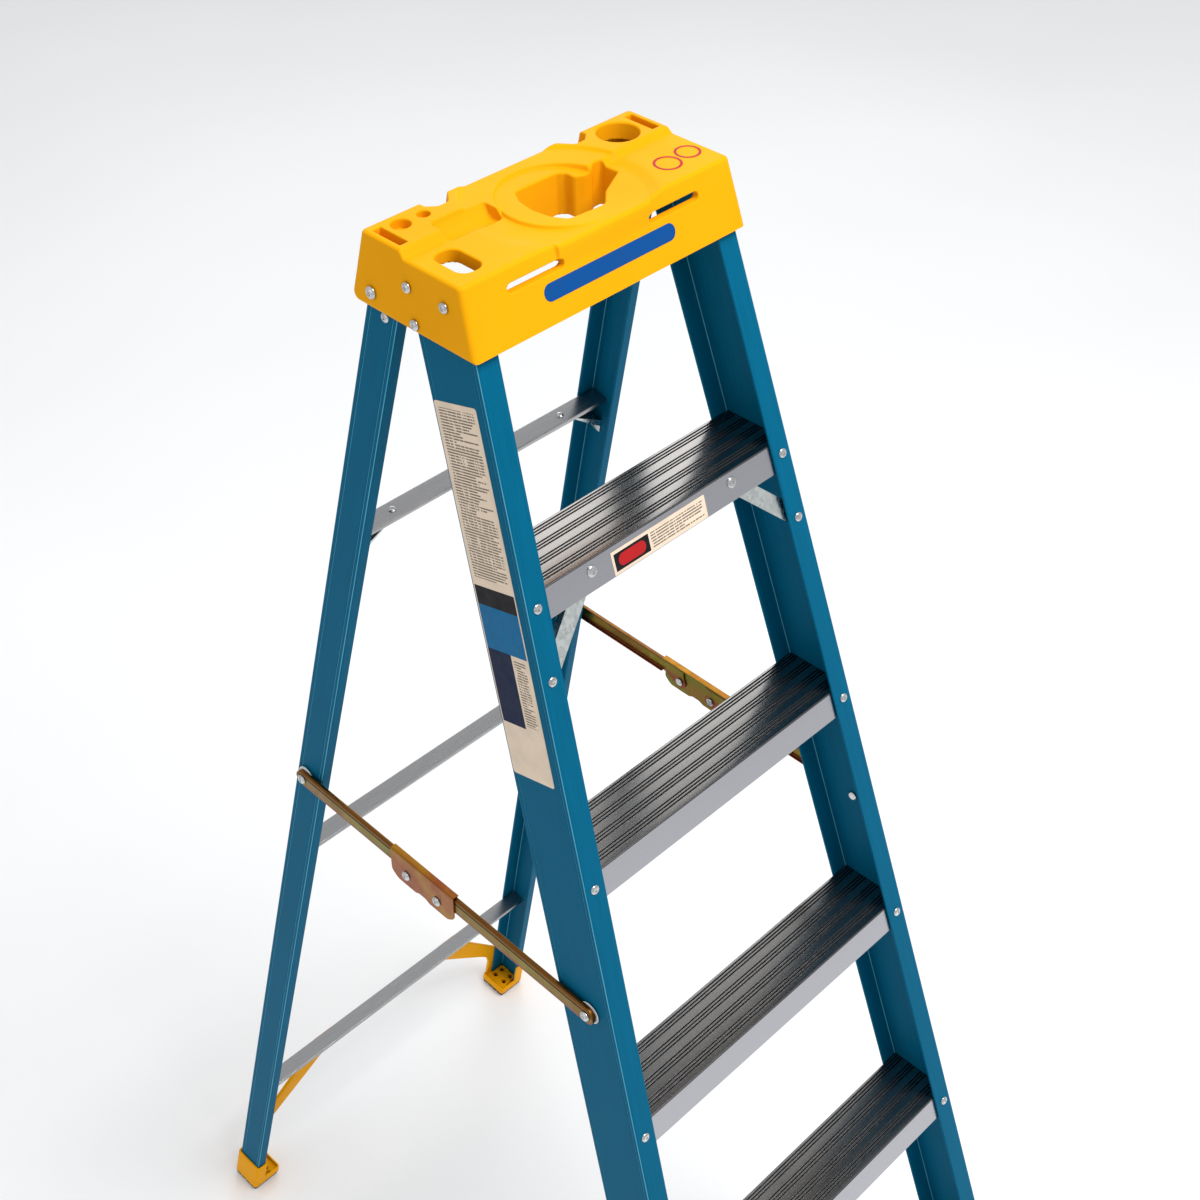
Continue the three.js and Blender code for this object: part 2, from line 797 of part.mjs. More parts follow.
function addPiece(name, geometry, material, parent = ladder) {
  const mesh = new THREE.Mesh(geometry, material);
  mesh.name = name;
  parent.add(mesh);
}

function addPair(name, geometry, material) {
  addPiece(name + "_left", geometry, material, leftSide);
  addPiece(name + "_right", geometry, material, rightSide);
}

addPiece("top_cap", capGeometry(), CAP_PLASTIC);

const railBores = [
  ...Object.values(CAP_RIVETS).map(([y, z]) => [y, z, CAP_RIVET_SHANK + GAP]),
  [...SPREADER.front, SPREADER.shank + GAP],
];
addPair("front_rail", railGeometry(FRONT_RAIL, railBores), FIBREGLASS);
addPair("rear_rail", railGeometry(REAR_RAIL, [[HINGE.y, HINGE.z, HINGE.shank + GAP]]), FIBREGLASS);

for (let i = 1; i <= STEP_COUNT; i++) {
  addPiece("step_" + i, betweenRails(FRONT_RAIL, stepSection(), i * STEP_RISE), ALUMINIUM);
}
for (const i of [1, STEP_COUNT]) {
  addPair("step_" + i + "_brace", stepBrace(i * STEP_RISE), GALVANISED);
}

for (const [name, height] of Object.entries(REAR_BAR_TOPS)) {
  addPiece("rear_bar_" + name, rearBar(height), ALUMINIUM);
}
addPair("rear_brace", rearBrace(REAR_BAR_TOPS.top), GALVANISED);

addPair("front_foot", shoe(FRONT_RAIL, SHOE.frontHeight), CAP_PLASTIC);
addPair("rear_foot", carve([shoe(REAR_RAIL, SHOE.rearHeight), rearArm()]), CAP_PLASTIC);
addPair("front_foot_pad", solePad(FRONT_RAIL), RUBBER);
addPair("rear_foot_pad", solePad(REAR_RAIL), RUBBER);

const HEAD_SEAT = 0.9; // a head's underside from the cap's end wall, for the wall's slope
const TAIL_GAP = 1; // from a clenched tail to the rail's web
const capFace = (z) => capEndX(z) + HEAD_SEAT;
for (const [name, [y, z]] of Object.entries(CAP_RIVETS)) {
  const tailX = webX(FRONT_RAIL, FRONT_RAIL.wall, y, z) - TAIL_GAP;
  const shape = { shank: CAP_RIVET_SHANK, headRadius: 5.5, headHeight: 3, headX: capFace(z) };
  Object.assign(shape, { tailRadius: 5, tailHeight: 2, tailX });
  addPair("cap_rivet_" + name, rivetX([y, z], shape), RIVET_STEEL);
}
addPair(
  "hinge_rivet",
  rivetX([HINGE.y, HINGE.z], {
    shank: HINGE.shank,
    headRadius: 6.5,
    headHeight: 3.4,
    headX: capFace(HINGE.z),
    tailRadius: 6.5,
    tailHeight: 2.5,
    tailX: webX(REAR_RAIL, REAR_RAIL.wall, HINGE.y, HINGE.z) - TAIL_GAP,
  }),
  RIVET_STEEL,
);

addPair("spreader_front_arm", spreaderArm(SPREADER.front, KNEE_FRONT, 1), ZINC);
addPair("spreader_rear_arm", spreaderArm(SPREADER.rear, KNEE_REAR, -1), ZINC);
addPair("spreader_link", spreaderLink(), ZINC);

const pivotHead = { shank: SPREADER.shank, headRadius: 6, headHeight: 3.2, tailHeight: 2 };
const armHeadX = SPREADER_OUTER_X + GAP;
addPair(
  "spreader_front_rivet",
  rivetX(SPREADER.front, {
    ...pivotHead,
    headX: armHeadX,
    tailRadius: 6,
    tailX: webX(FRONT_RAIL, FRONT_RAIL.wall, ...SPREADER.front) - TAIL_GAP,
  }),
  RIVET_STEEL,
);
// The rear pivot is the open one: its rivet stays with the arm and ends just short of the rail.
const rearRivetEnd = webX(REAR_RAIL, 0, ...SPREADER.rear) + 0.8;
addPair(
  "spreader_rear_rivet",
  rivetX(SPREADER.rear, {
    ...pivotHead,
    headX: armHeadX,
    tailRadius: SPREADER.shank + 0.01,
    tailHeight: 0.2,
    tailX: rearRivetEnd + 0.2,
  }),
  RIVET_STEEL,
);
for (const [name, at] of [
  ["front", KNEE_FRONT],
  ["rear", KNEE_REAR],
]) {
  const shape = { ...pivotHead, headX: LINK_X + SPREADER.plate + GAP, tailRadius: 5.5 };
  shape.shank = SPREADER.shank - 0.05 - GAP;
  shape.tailX = SPREADER_OUTER_X - SPREADER.plate - GAP;
  addPair("spreader_link_rivet_" + name, rivetX(at, shape), RIVET_STEEL);
}

const washerBore = SPREADER.shank + GAP;
for (const [name, rail, at] of [
  ["front", FRONT_RAIL, SPREADER.front],
  ["rear", REAR_RAIL, SPREADER.rear],
]) {
  const inner = webX(rail, 0, ...at) + 1.2;
  const ring = washerX(at, SPREADER.washerRadius, washerBore, inner, SPREADER.innerX - GAP);
  addPair("spreader_" + name + "_washer", ring, NYLON);
}

addPiece("rail_label", railLabel(), LABEL, leftSide);
addPiece("step_label", stepLabel(), LABEL);

export default ladder;
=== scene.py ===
"""Looks of the fibreglass step ladder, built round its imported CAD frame.

Lengths in this file are millimetres, and they turn into metres as each mesh is made.
"""

import math

import bpy
import numpy as np
from mathutils import Matrix, Vector


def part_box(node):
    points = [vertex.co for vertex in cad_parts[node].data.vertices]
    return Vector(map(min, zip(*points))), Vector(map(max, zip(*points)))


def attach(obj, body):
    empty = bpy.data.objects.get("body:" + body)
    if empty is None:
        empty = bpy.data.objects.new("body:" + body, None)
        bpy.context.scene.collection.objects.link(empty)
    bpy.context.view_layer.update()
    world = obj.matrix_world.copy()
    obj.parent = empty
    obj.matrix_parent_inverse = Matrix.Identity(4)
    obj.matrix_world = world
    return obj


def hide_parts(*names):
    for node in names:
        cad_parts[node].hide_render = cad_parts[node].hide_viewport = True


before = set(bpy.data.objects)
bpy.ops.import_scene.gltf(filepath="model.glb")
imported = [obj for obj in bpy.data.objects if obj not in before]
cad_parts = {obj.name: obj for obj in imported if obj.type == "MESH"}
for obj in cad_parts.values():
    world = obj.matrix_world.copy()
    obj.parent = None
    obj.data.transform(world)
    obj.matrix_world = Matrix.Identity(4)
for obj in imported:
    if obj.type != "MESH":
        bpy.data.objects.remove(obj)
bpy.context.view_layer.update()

MM = 0.001
GAP = 0.3
FIT = 0.4
SIDES = {"left": -1, "right": 1}

FRONT = {"x": 275.7, "y": -533.1, "lean_x": -0.066, "lean_y": 0.2905, "web": 78.0}
FRONT |= {"front": 25.3, "back": 25.3, "wall": 3.0, "bottom": 14.0, "top": 1738.0}
REAR = {"x": 272.0, "y": 489.6, "lean_x": -0.064, "lean_y": -0.256, "web": 42.3}
REAR |= {"front": 13.2, "back": 25.2, "wall": 3.0, "bottom": 14.0, "top": 1717.0}

STEP_RISE = 292
STEPS = 5
BRACED_STEPS = (1, 5)
ARM_HALF = 11.0

# ---- Camera, light and floor ----
YAW = math.radians(-43.8345)
PITCH = math.radians(35.9438)
ROLL = math.radians(-1.3138)

back = Vector((math.sin(YAW) * math.cos(PITCH), -math.cos(YAW) * math.cos(PITCH), math.sin(PITCH)))
right = Vector((math.cos(YAW), math.sin(YAW), 0))
up = back.cross(right)
camera_right = math.cos(ROLL) * right + math.sin(ROLL) * up
camera_up = -math.sin(ROLL) * right + math.cos(ROLL) * up
camera_data = bpy.data.cameras.new("camera")
camera_data.lens = 55.31
camera_data.sensor_width = 36
camera_data.shift_x = -0.00135
camera_data.shift_y = -0.1119
camera = bpy.data.objects.new("camera", camera_data)
bpy.context.scene.collection.objects.link(camera)
camera.matrix_world = Matrix.Translation((-1.0061, -1.07276, 2.52948)) @ Matrix(
    (camera_right, camera_up, back)
).transposed().to_4x4()
bpy.context.scene.camera = camera


def area_light(name, place, target, size, power):
    data = bpy.data.lights.new(name, "AREA")
    data.shape = "DISK"
    data.size = size
    data.energy = power
    light = bpy.data.objects.new(name, data)
    bpy.context.scene.collection.objects.link(light)
    light.location = place
    light.rotation_euler = (Vector(target) - Vector(place)).to_track_quat("-Z", "Y").to_euler()


LADDER_MIDDLE = (0, 0, 1.0)
area_light("key", (0.6, -1.8, 4.6), LADDER_MIDDLE, 2.0, 132)
area_light("fill", (-4.2, 0.6, 2.4), LADDER_MIDDLE, 3.0, 10)
area_light("rim", (2.6, 2.8, 3.4), LADDER_MIDDLE, 2.4, 30)

world = bpy.data.worlds.new("studio")
bpy.context.scene.world = world
world.use_nodes = True
world.node_tree.nodes["Background"].inputs["Color"].default_value = (0.97, 0.985, 1.0, 1)
world.node_tree.nodes["Background"].inputs["Strength"].default_value = 0.72
bpy.context.scene.view_settings.view_transform = "Standard"


# ---- Material helpers ----
class Shader:
    """A principled material with short calls for the nodes that feed it."""

    def __init__(self, name, colour, roughness=0.5, metallic=0.0):
        self.material = bpy.data.materials.new(name)
        self.material.use_nodes = True
        self.tree = self.material.node_tree
        self.bsdf = self.tree.nodes["Principled BSDF"]
        self.set("Base Color", (*colour, 1))
        self.set("Roughness", roughness)
        self.set("Metallic", metallic)
        self.coordinates = self.tree.nodes.new("ShaderNodeTexCoord")

    def set(self, socket, value):
        self.bsdf.inputs[socket].default_value = value

    def link(self, source, target):
        self.tree.links.new(source, target)

    def feed(self, socket, source):
        self.link(source, self.bsdf.inputs[socket])

    def node(self, kind, **values):
        made = self.tree.nodes.new("ShaderNode" + kind)
        for key, value in values.items():
            setattr(made, key, value)
        return made

    def noise(self, scale, stretch=(1, 1, 1), detail=3.0, space="Object"):
        mapping = self.node("Mapping")
        mapping.inputs["Scale"].default_value = stretch
        self.link(self.coordinates.outputs[space], mapping.inputs["Vector"])
        noise = self.node("TexNoise")
        noise.inputs["Scale"].default_value = scale
        noise.inputs["Detail"].default_value = detail
        self.link(mapping.outputs["Vector"], noise.inputs["Vector"])
        return noise.outputs["Fac"]

    def ramp(self, source, *stops):
        """stops are (place, colour) with a colour of three numbers, or one for grey."""
        ramp = self.node("ValToRGB")
        elements = ramp.color_ramp.elements
        while len(elements) < len(stops):
            elements.new(0.5)
        for element, (place, colour) in zip(elements, stops):
            element.position = place
            element.color = (*colour, 1) if isinstance(colour, tuple) else (colour,) * 3 + (1,)
        self.link(source, ramp.inputs["Fac"])
        return ramp.outputs["Color"]

    def mix(self, factor, a, b):
        mixed = self.node("Mix", data_type="RGBA")
        for socket, value in ((mixed.inputs[0], factor), (mixed.inputs[6], a), (mixed.inputs[7], b)):
            if isinstance(value, bpy.types.NodeSocket):
                self.link(value, socket)
            elif isinstance(value, tuple):
                socket.default_value = (*value, 1)
            else:
                socket.default_value = value
        return mixed.outputs[2]

    def math(self, operation, a, b=0.5):
        made = self.node("Math", operation=operation)
        for socket, value in zip(made.inputs, (a, b)):
            if isinstance(value, bpy.types.NodeSocket):
                self.link(value, socket)
            else:
                socket.default_value = value
        return made.outputs[0]

    def bump(self, height, strength, distance):
        made = self.node("Bump")
        made.inputs["Strength"].default_value = strength
        made.inputs["Distance"].default_value = distance
        self.link(height, made.inputs["Height"])
        self.feed("Normal", made.outputs["Normal"])


def plastic():
    s = Shader("moulded_plastic", (1.0, 0.49, 0.004), 0.38)
    cloud = s.noise(9, detail=2)
    s.feed("Base Color", s.ramp(cloud, (0.3, (0.79, 0.335, 0.003)), (0.7, (0.83, 0.365, 0.004))))
    grain = s.noise(900, detail=2)
    s.feed("Roughness", s.ramp(s.noise(60, detail=4), (0.35, 0.32), (0.7, 0.46)))
    s.bump(grain, 0.09, 0.0004)
    s.set("Specular IOR Level", 0.02)
    return s.material


def fibreglass(name, deep, pale):
    s = Shader(name, pale, 0.45)
    streak = s.noise(30, stretch=(26, 0.35, 1), detail=5, space="UV")
    veil = s.noise(3, detail=3)
    body = s.ramp(streak, (0.3, deep), (0.72, pale))
    shade = tuple(0.82 * c for c in deep)
    s.feed("Base Color", s.mix(s.ramp(veil, (0.35, 0.0), (0.75, 0.3)), body, shade))
    s.feed("Roughness", s.ramp(streak, (0.3, 0.42), (0.7, 0.55)))
    s.set("Specular IOR Level", 0.04)
    s.bump(s.noise(60, stretch=(30, 0.6, 1), detail=4, space="UV"), 0.12, 0.0004)
    return s.material


def brushed(name, dark, light, roughness, bump=0.06):
    """Metal with fine lines along the v axis of its UV map."""
    s = Shader(name, light, roughness, 1.0)
    line = s.noise(240, stretch=(60, 0.12, 1), detail=4, space="UV")
    broad = s.noise(14, stretch=(9, 0.35, 1), detail=3, space="UV")
    body = s.ramp(line, (0.25, dark), (0.75, light))
    s.feed("Base Color", s.mix(s.ramp(broad, (0.35, 0.0), (0.7, 0.4)), body, dark))
    s.feed("Roughness", s.ramp(line, (0.3, roughness - 0.05), (0.7, roughness + 0.07)))
    s.bump(line, bump, 0.0003)
    return s.material


def galvanised():
    s = Shader("galvanised", (0.74, 0.76, 0.76), 0.3, 1.0)
    cells = s.node("TexVoronoi")
    cells.inputs["Scale"].default_value = 260
    s.link(s.coordinates.outputs["Object"], cells.inputs["Vector"])
    spangle = cells.outputs["Color"]
    s.feed("Base Color", s.ramp(spangle, (0.2, (0.56, 0.60, 0.585)), (0.8, (0.66, 0.70, 0.68))))
    s.feed("Roughness", s.ramp(spangle, (0.2, 0.24), (0.8, 0.4)))
    s.bump(s.noise(300, detail=3), 0.08, 0.0003)
    return s.material


def yellow_zinc(name, *films):
    """Chromate film whose colour drifts between some tints."""
    s = Shader(name, films[0][1], 0.3, 1.0)
    patch = s.noise(13, stretch=(1, 0.6, 1), detail=4)
    s.feed("Roughness", s.ramp(s.noise(90, detail=4), (0.35, 0.24), (0.7, 0.42)))
    s.bump(s.noise(500, detail=2), 0.06, 0.0003)
    return s, s.ramp(patch, *films)


def link_zinc():
    s, film = yellow_zinc(
        "link_zinc",
        (0.34, (0.27, 0.075, 0.02)),
        (0.48, (0.33, 0.15, 0.015)),
        (0.58, (0.30, 0.10, 0.02)),
        (0.7, (0.24, 0.055, 0.03)),
    )
    s.feed("Base Color", film)
    return s.material


def inner_zinc():
    s, film = yellow_zinc(
        "inner_zinc",
        (0.36, (0.13, 0.15, 0.03)),
        (0.52, (0.17, 0.16, 0.015)),
        (0.66, (0.24, 0.13, 0.02)),
    )
    s.feed("Base Color", film)
    return s.material


def arm_zinc():
    """The arms' film is olive on the web, red along the low edge and brown on the top rib, with a
    near-black band of painted shade along the groove under the rib.

    The arms' u axis runs up the web, in metres from its middle.
    """
    s, olive = yellow_zinc(
        "arm_zinc",
        (0.35, (0.15, 0.145, 0.01)),
        (0.5, (0.21, 0.155, 0.012)),
        (0.65, (0.19, 0.105, 0.012)),
    )
    apart = s.node("SeparateXYZ")
    s.link(s.coordinates.outputs["UV"], apart.inputs[0])
    height = s.math("ADD", s.math("DIVIDE", apart.outputs["X"], 2 * ARM_HALF * MM), 0.5)
    low = s.ramp(height, (0.1, 1.0), (0.3, 0.0))
    top = s.ramp(height, (0.75, 0.0), (0.8, 1.0))
    # line is a near-black band of painted shade along the groove under the top rib.
    line = s.ramp(height, (0.7, 0.0), (0.725, 1.0), (0.765, 1.0), (0.79, 0.0))
    film = s.mix(low, olive, (0.22, 0.065, 0.025))
    film = s.mix(top, film, (0.19, 0.08, 0.018))
    s.feed("Base Color", s.mix(line, film, (0.02, 0.014, 0.008)))
    return s.material


def grained(name, tint, gloss, grain, metallic=0.0):
    """A small part's material.

    tint and gloss are (noise scale, low stop, high stop), and grain is (scale, detail, strength,
    distance) of the bump.
    """
    s = Shader(name, tint[2][1], 0.5, metallic)
    s.feed("Base Color", s.ramp(s.noise(tint[0]), *tint[1:]))
    s.feed("Roughness", s.ramp(s.noise(gloss[0]), *gloss[1:]))
    scale, detail, strength, distance = grain
    s.bump(s.noise(scale, detail=detail), strength, distance)
    return s.material


def rivet_metal():
    tint = (160, (0.35, (0.46, 0.46, 0.46)), (0.7, (0.66, 0.66, 0.66)))
    return grained("rivet_metal", tint, (400, (0.35, 0.12), (0.7, 0.24)), (700, 3, 0.05, 0.0002), 1.0)


def rubber():
    tint = (80, (0.3, (0.02, 0.02, 0.02)), (0.75, (0.055, 0.053, 0.05)))
    return grained("rubber", tint, (200, (0.3, 0.75), (0.7, 0.95)), (900, 5, 0.3, 0.0004))


def nylon():
    tint = (60, (0.3, (0.76, 0.76, 0.74)), (0.7, (0.86, 0.86, 0.84)))
    return grained("nylon", tint, (200, (0.3, 0.42), (0.7, 0.58)), (700, 3, 0.05, 0.0002))


PAPER = (0.76, 0.62, 0.48)
PRINT = (0.02, 0.018, 0.016)
ROW_PITCH = 2.9


def film(name, colour):
    """Printed label film, a little scuffed."""
    s = Shader(name, colour, 0.45)
    worn = tuple(0.9 * c + 0.004 for c in colour)
    s.feed("Base Color", s.ramp(s.noise(45, detail=5), (0.35, worn), (0.62, colour)))
    s.feed("Roughness", s.ramp(s.noise(120), (0.3, 0.38), (0.7, 0.56)))
    s.bump(s.noise(260, detail=2), 0.04, 0.0002)
    s.set("Specular IOR Level", 0.1)
    return s.material


def ruled(name, margin, end):
    """Cream film with rows of thin broken rules, of uneven length, that start at a margin.

    The v axis counts the rows. margin and end are on the u axis, in metres.
    """
    s = Shader(name, PAPER, 0.45)
    apart = s.node("SeparateXYZ")
    s.link(s.coordinates.outputs["UV"], apart.inputs[0])
    rows = s.math("DIVIDE", apart.outputs["Y"], ROW_PITCH * MM)
    number = s.math("FLOOR", rows)
    random = s.node("TexWhiteNoise", noise_dimensions="1D")
    s.link(number, random.inputs["W"])
    printed = s.math("LESS_THAN", s.math("FRACT", rows), 0.5)
    missing = s.math("MULTIPLY", s.math("POWER", random.outputs["Value"], 6.0), 0.7)
    length = s.math("SUBTRACT", 1.0, missing)
    share = s.math("DIVIDE", s.math("SUBTRACT", apart.outputs["X"], margin), end - margin)
    inside = s.math("LESS_THAN", share, length)
    breaks = s.math("GREATER_THAN", s.noise(620, stretch=(1, 0.1, 1), detail=0, space="UV"), 0.36)
    ink = s.math("MULTIPLY", s.math("MULTIPLY", printed, inside), breaks)
    s.feed("Base Color", s.mix(s.math("MULTIPLY", ink, 0.8), PAPER, PRINT))
    s.feed("Roughness", s.ramp(s.noise(120), (0.3, 0.38), (0.7, 0.56)))
    s.set("Specular IOR Level", 0.1)
    return s.material


def floor_material():
    s = Shader("floor", (0.9, 0.9, 0.9), 0.75)
    s.feed("Base Color", s.ramp(s.noise(0.7, detail=2), (0.3, 0.87), (0.7, 0.91)))
    return s.material


PLASTIC = plastic()
FIBREGLASS = fibreglass("fibreglass", (0.0, 0.094, 0.176), (0.0, 0.126, 0.24))
# A paler blue that paints the highlight on the rails' corner radii and beads.
FIBREGLASS_HIGHLIGHT = fibreglass("fibreglass_painted_highlight", (0.07, 0.32, 0.46), (0.15, 0.45, 0.60))
TREAD_METAL = brushed("tread_metal", (0.255, 0.245, 0.235), (0.31, 0.30, 0.29), 0.2, 0.008)
# Near-black metal that paints the shade inside the tread grooves.
GROOVE_SHADE_METAL = brushed("groove_painted_shade", (0.06, 0.06, 0.062), (0.09, 0.09, 0.092), 0.36)
# A paler, bluer copy of the tread metal that paints the brighter light on the steps' upright faces.
APRON_LIT_METAL = brushed("apron_metal_painted_light", (0.40, 0.40, 0.425), (0.46, 0.46, 0.49), 0.26, 0.015)
BAR_METAL = brushed("bar_metal", (0.33, 0.33, 0.333), (0.40, 0.40, 0.403), 0.26, 0.02)
GALVANISED = galvanised()
ARM_ZINC = arm_zinc()
LINK_ZINC = link_zinc()
INNER_ZINC = inner_zinc()
RIVET = rivet_metal()
RUBBER = rubber()
NYLON = nylon()
CREAM = film("film_cream", PAPER)
INK = film("film_ink", (0.008, 0.008, 0.01))
NAVY = film("film_navy", (0.004, 0.012, 0.045))
SKY = film("film_blue", (0.0, 0.13, 0.30))
RED = film("film_red", (0.44, 0.012, 0.014))
MARK_BLUE = film("mark_blue", (0.0, 0.065, 0.26))


# ---- Mesh helpers ----
def add_object(name, vertices, faces, material, uv=None, smooth_angle=32):
    """A mesh object from millimetre vertices. uv gives one (u, v) for each vertex, in metres."""
    mesh = bpy.data.meshes.new(name)
    mesh.from_pydata((np.asarray(vertices, float) * MM).tolist(), [], faces)
    if uv is not None:
        layer = mesh.uv_layers.new(name="UVMap")
        for loop in mesh.loops:
            layer.data[loop.index].uv = uv[loop.vertex_index]
    mesh.materials.append(material)
    mesh.validate()
    mesh.shade_smooth()
    made = bpy.data.objects.new(name, mesh)
    if smooth_angle:
        mesh.set_sharp_from_angle(angle=math.radians(smooth_angle))
        flat = made.modifiers.new("flat", "WEIGHTED_NORMAL")
        flat.keep_sharp = True
    bpy.context.scene.collection.objects.link(made)
    return made


def settle(piece, body, slot, *nodes):
    """Parents a finished piece to the body it rides on and hides the CAD nodes it stands for; slot is
    not used.
    """
    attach(piece, body)
    if nodes:
        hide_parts(*nodes)
    return piece


def bevelled(piece, width):
    modifier = piece.modifiers.new("bevel", "BEVEL")
    modifier.width = width * MM
    modifier.segments = 2
    modifier.limit_method = "ANGLE"
    modifier.angle_limit = math.radians(35)
    modifier.harden_normals = True


def outward(vertices, faces):
    """The faces turned so that they look out of their closed surface."""
    points = np.asarray(vertices, float)
    volume = 0.0
    for face in faces:
        a = points[face[0]]
        for j in range(1, len(face) - 1):
            volume += np.dot(a, np.cross(points[face[j]], points[face[j + 1]]))
    return faces if volume > 0 else [list(reversed(face)) for face in faces]


def tube_faces(n, cuts):
    """The side faces between rings of n points, and then the two ends."""
    faces = [
        [i * n + j, i * n + (j + 1) % n, (i + 1) * n + (j + 1) % n, (i + 1) * n + j]
        for i in range(cuts)
        for j in range(n)
    ]
    return [*faces, list(range(n - 1, -1, -1)), list(range(cuts * n, (cuts + 1) * n))]


def prism(outline, place):
    """Vertices, faces and uv of an outline swept from t = 0 to 1, each point moved by place."""
    lengths = [0.0]
    for (a, b), (c, d) in zip(outline, outline[1:]):
        lengths.append(lengths[-1] + math.hypot(c - a, d - b))
    vertices, uv = [], []
    first = np.array(place(*outline[0], 0.0))
    span = np.linalg.norm(np.array(place(*outline[0], 1.0)) - first)
    for t in (0.0, 1.0):
        vertices += [place(a, b, t) for a, b in outline]
        uv += [(length * MM, t * span * MM) for length in lengths]
    return vertices, outward(vertices, tube_faces(len(outline), 1)), uv


def joined(parts):
    """Several (vertices, faces, uv) as one."""
    vertices, faces, uv = [], [], []
    for more_vertices, more_faces, more_uv in parts:
        start = len(vertices)
        vertices += [tuple(v) for v in more_vertices]
        faces += [[start + i for i in face] for face in more_faces]
        uv += list(more_uv)
    return vertices, faces, uv


def mirrored(shape, side):
    vertices, faces, uv = shape
    if side > 0:
        return shape
    return [(-x, y, z) for x, y, z in vertices], [list(reversed(f)) for f in faces], uv


def mix(a, b, t):
    return a + (b - a) * t


def arc(centre, radius, start, end, steps):
    angles = np.radians(np.linspace(start, end, steps + 1))
    return [(centre[0] + radius * math.cos(a), centre[1] + radius * math.sin(a)) for a in angles]


def rounded(outline, radius, steps=3):
    """The outline with each corner turned into an arc of the radius, or of its own where it has one."""
    points = []
    n = len(outline)
    for i, corner in enumerate(outline):
        here = np.array(corner[:2], float)
        r = corner[2] if len(corner) > 2 else radius
        before = np.array(outline[i - 1][:2], float) - here
        after = np.array(outline[(i + 1) % n][:2], float) - here
        u, v = before / np.linalg.norm(before), after / np.linalg.norm(after)
        half = math.acos(np.clip(u @ v, -1, 1)) / 2
        if r <= 0 or abs(half - math.pi / 2) < 0.02:
            points.append(tuple(here))
            continue
        reach = min(r / math.tan(half), 0.49 * np.linalg.norm(before), 0.49 * np.linalg.norm(after))
        r = reach * math.tan(half)
        middle = here + (u + v) / np.linalg.norm(u + v) * r / math.sin(half)
        a, b = here + u * reach - middle, here + v * reach - middle
        turn = math.atan2(a[0] * b[1] - a[1] * b[0], a @ b)
        start = math.atan2(a[1], a[0])
        for k in range(steps + 1):
            angle = start + turn * k / steps
            points.append((middle[0] + r * math.cos(angle), middle[1] + r * math.sin(angle)))
    return points


def turned(profile, centre, direction, steps=28, ring=False):
    """A closed lathe body: profile is (radius, height), from the axis and back to it, or a ring."""
    axis = Vector(direction).normalized()
    side = axis.orthogonal().normalized()
    other = axis.cross(side)
    vertices, faces, uv = [], [], []
    n = len(profile)
    for i in range(steps):
        angle = 2 * math.pi * i / steps
        out = side * math.cos(angle) + other * math.sin(angle)
        for radius, height in profile:
            vertices.append(tuple(Vector(centre) + out * radius + axis * height))
            uv.append((angle * radius * MM, height * MM))
    for i in range(steps):
        j = (i + 1) % steps
        for k in range(n if ring else n - 1):
            m = (k + 1) % n
            faces.append([i * n + k, j * n + k, j * n + m, i * n + m])
    if not ring:
        faces.append([i * n for i in range(steps - 1, -1, -1)])
        faces.append([i * n + n - 1 for i in range(steps)])
    return vertices, outward(vertices, faces), uv


CORE = 0.05


def head_profile(radius, height, base=0.0):
    """A domed rivet head with the small dimple that its setting tool leaves."""
    rim, edge, floor_height = 0.4, 0.46, 0.58
    profile = [(radius * 0.97, base), (radius, base + rim / 2), (radius, base + rim)]
    for share in (0.97, 0.9, 0.8, 0.68, 0.56, edge):
        rise = math.sqrt((1 - share**2) / (1 - edge**2))
        profile.append((radius * share, base + rim + (height - rim) * rise))
    profile += [(radius * 0.34, base + height * 0.93), (radius * 0.26, base + height * floor_height)]
    profile.append((CORE, base + height * floor_height + 0.1))
    return profile


def rivet_head(centre, direction, radius=5.2, height=2.3, depth=1.0):
    """A head that stands on a surface and is sunk a little into it."""
    sunk = [(CORE, -depth), (0.9 * radius, -depth)]
    return turned([*sunk, *head_profile(radius, height)], centre, direction)


def rivet_through(node, side, head_height, tail_height):
    """A rivet along x that fills the place of a CAD rivet, with its head on the outer side."""
    low, high = (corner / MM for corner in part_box(node))
    centre = (low + high) / 2
    radius = (high.z - low.z) / 2
    length = high.x - low.x
    start = (low.x if side > 0 else high.x, centre.y, centre.z)
    seat = length - head_height
    shank, tail = 0.55 * radius, 0.86 * radius
    profile = [(CORE, 0), (0.72 * radius, 0), (tail, 0.35 * tail_height), (tail, tail_height)]
    profile += [(shank, tail_height), (shank, seat), *head_profile(radius, head_height, seat)]
    return turned(profile, start, (side, 0, 0))


# ---- Rails ----
def axes_of(rail):
    along = Vector((rail["lean_x"], rail["lean_y"], 1)).normalized()
    behind = Vector((0, 1, -rail["lean_y"])).normalized()
    return along, behind, along.cross(behind).normalized()


def rail_point(rail, inset, depth, height):
    along, behind, inward = axes_of(rail)
    point = Vector((rail["x"], rail["y"], 0)) + inward * inset + behind * depth
    return tuple(point + along * ((height - point.z) / along.z))


def rail_front(rail, z):
    return rail["y"] + rail["lean_y"] * z


def rail_depth(rail):
    return rail["web"] * math.hypot(1, rail["lean_y"])


def web_x(rail, inset, y, z):
    """x of the plane that lies an inset inside the web's outer face."""
    inward = axes_of(rail)[2]
    x0, y0, z0 = rail_point(rail, inset, 0, 0)
    return x0 - (inward.y * (y - y0) + inward.z * (z - z0)) / inward.x


RAIL_ARC = 4
BEAD_PLACE, BEAD_LIP = 6.2, 0.5


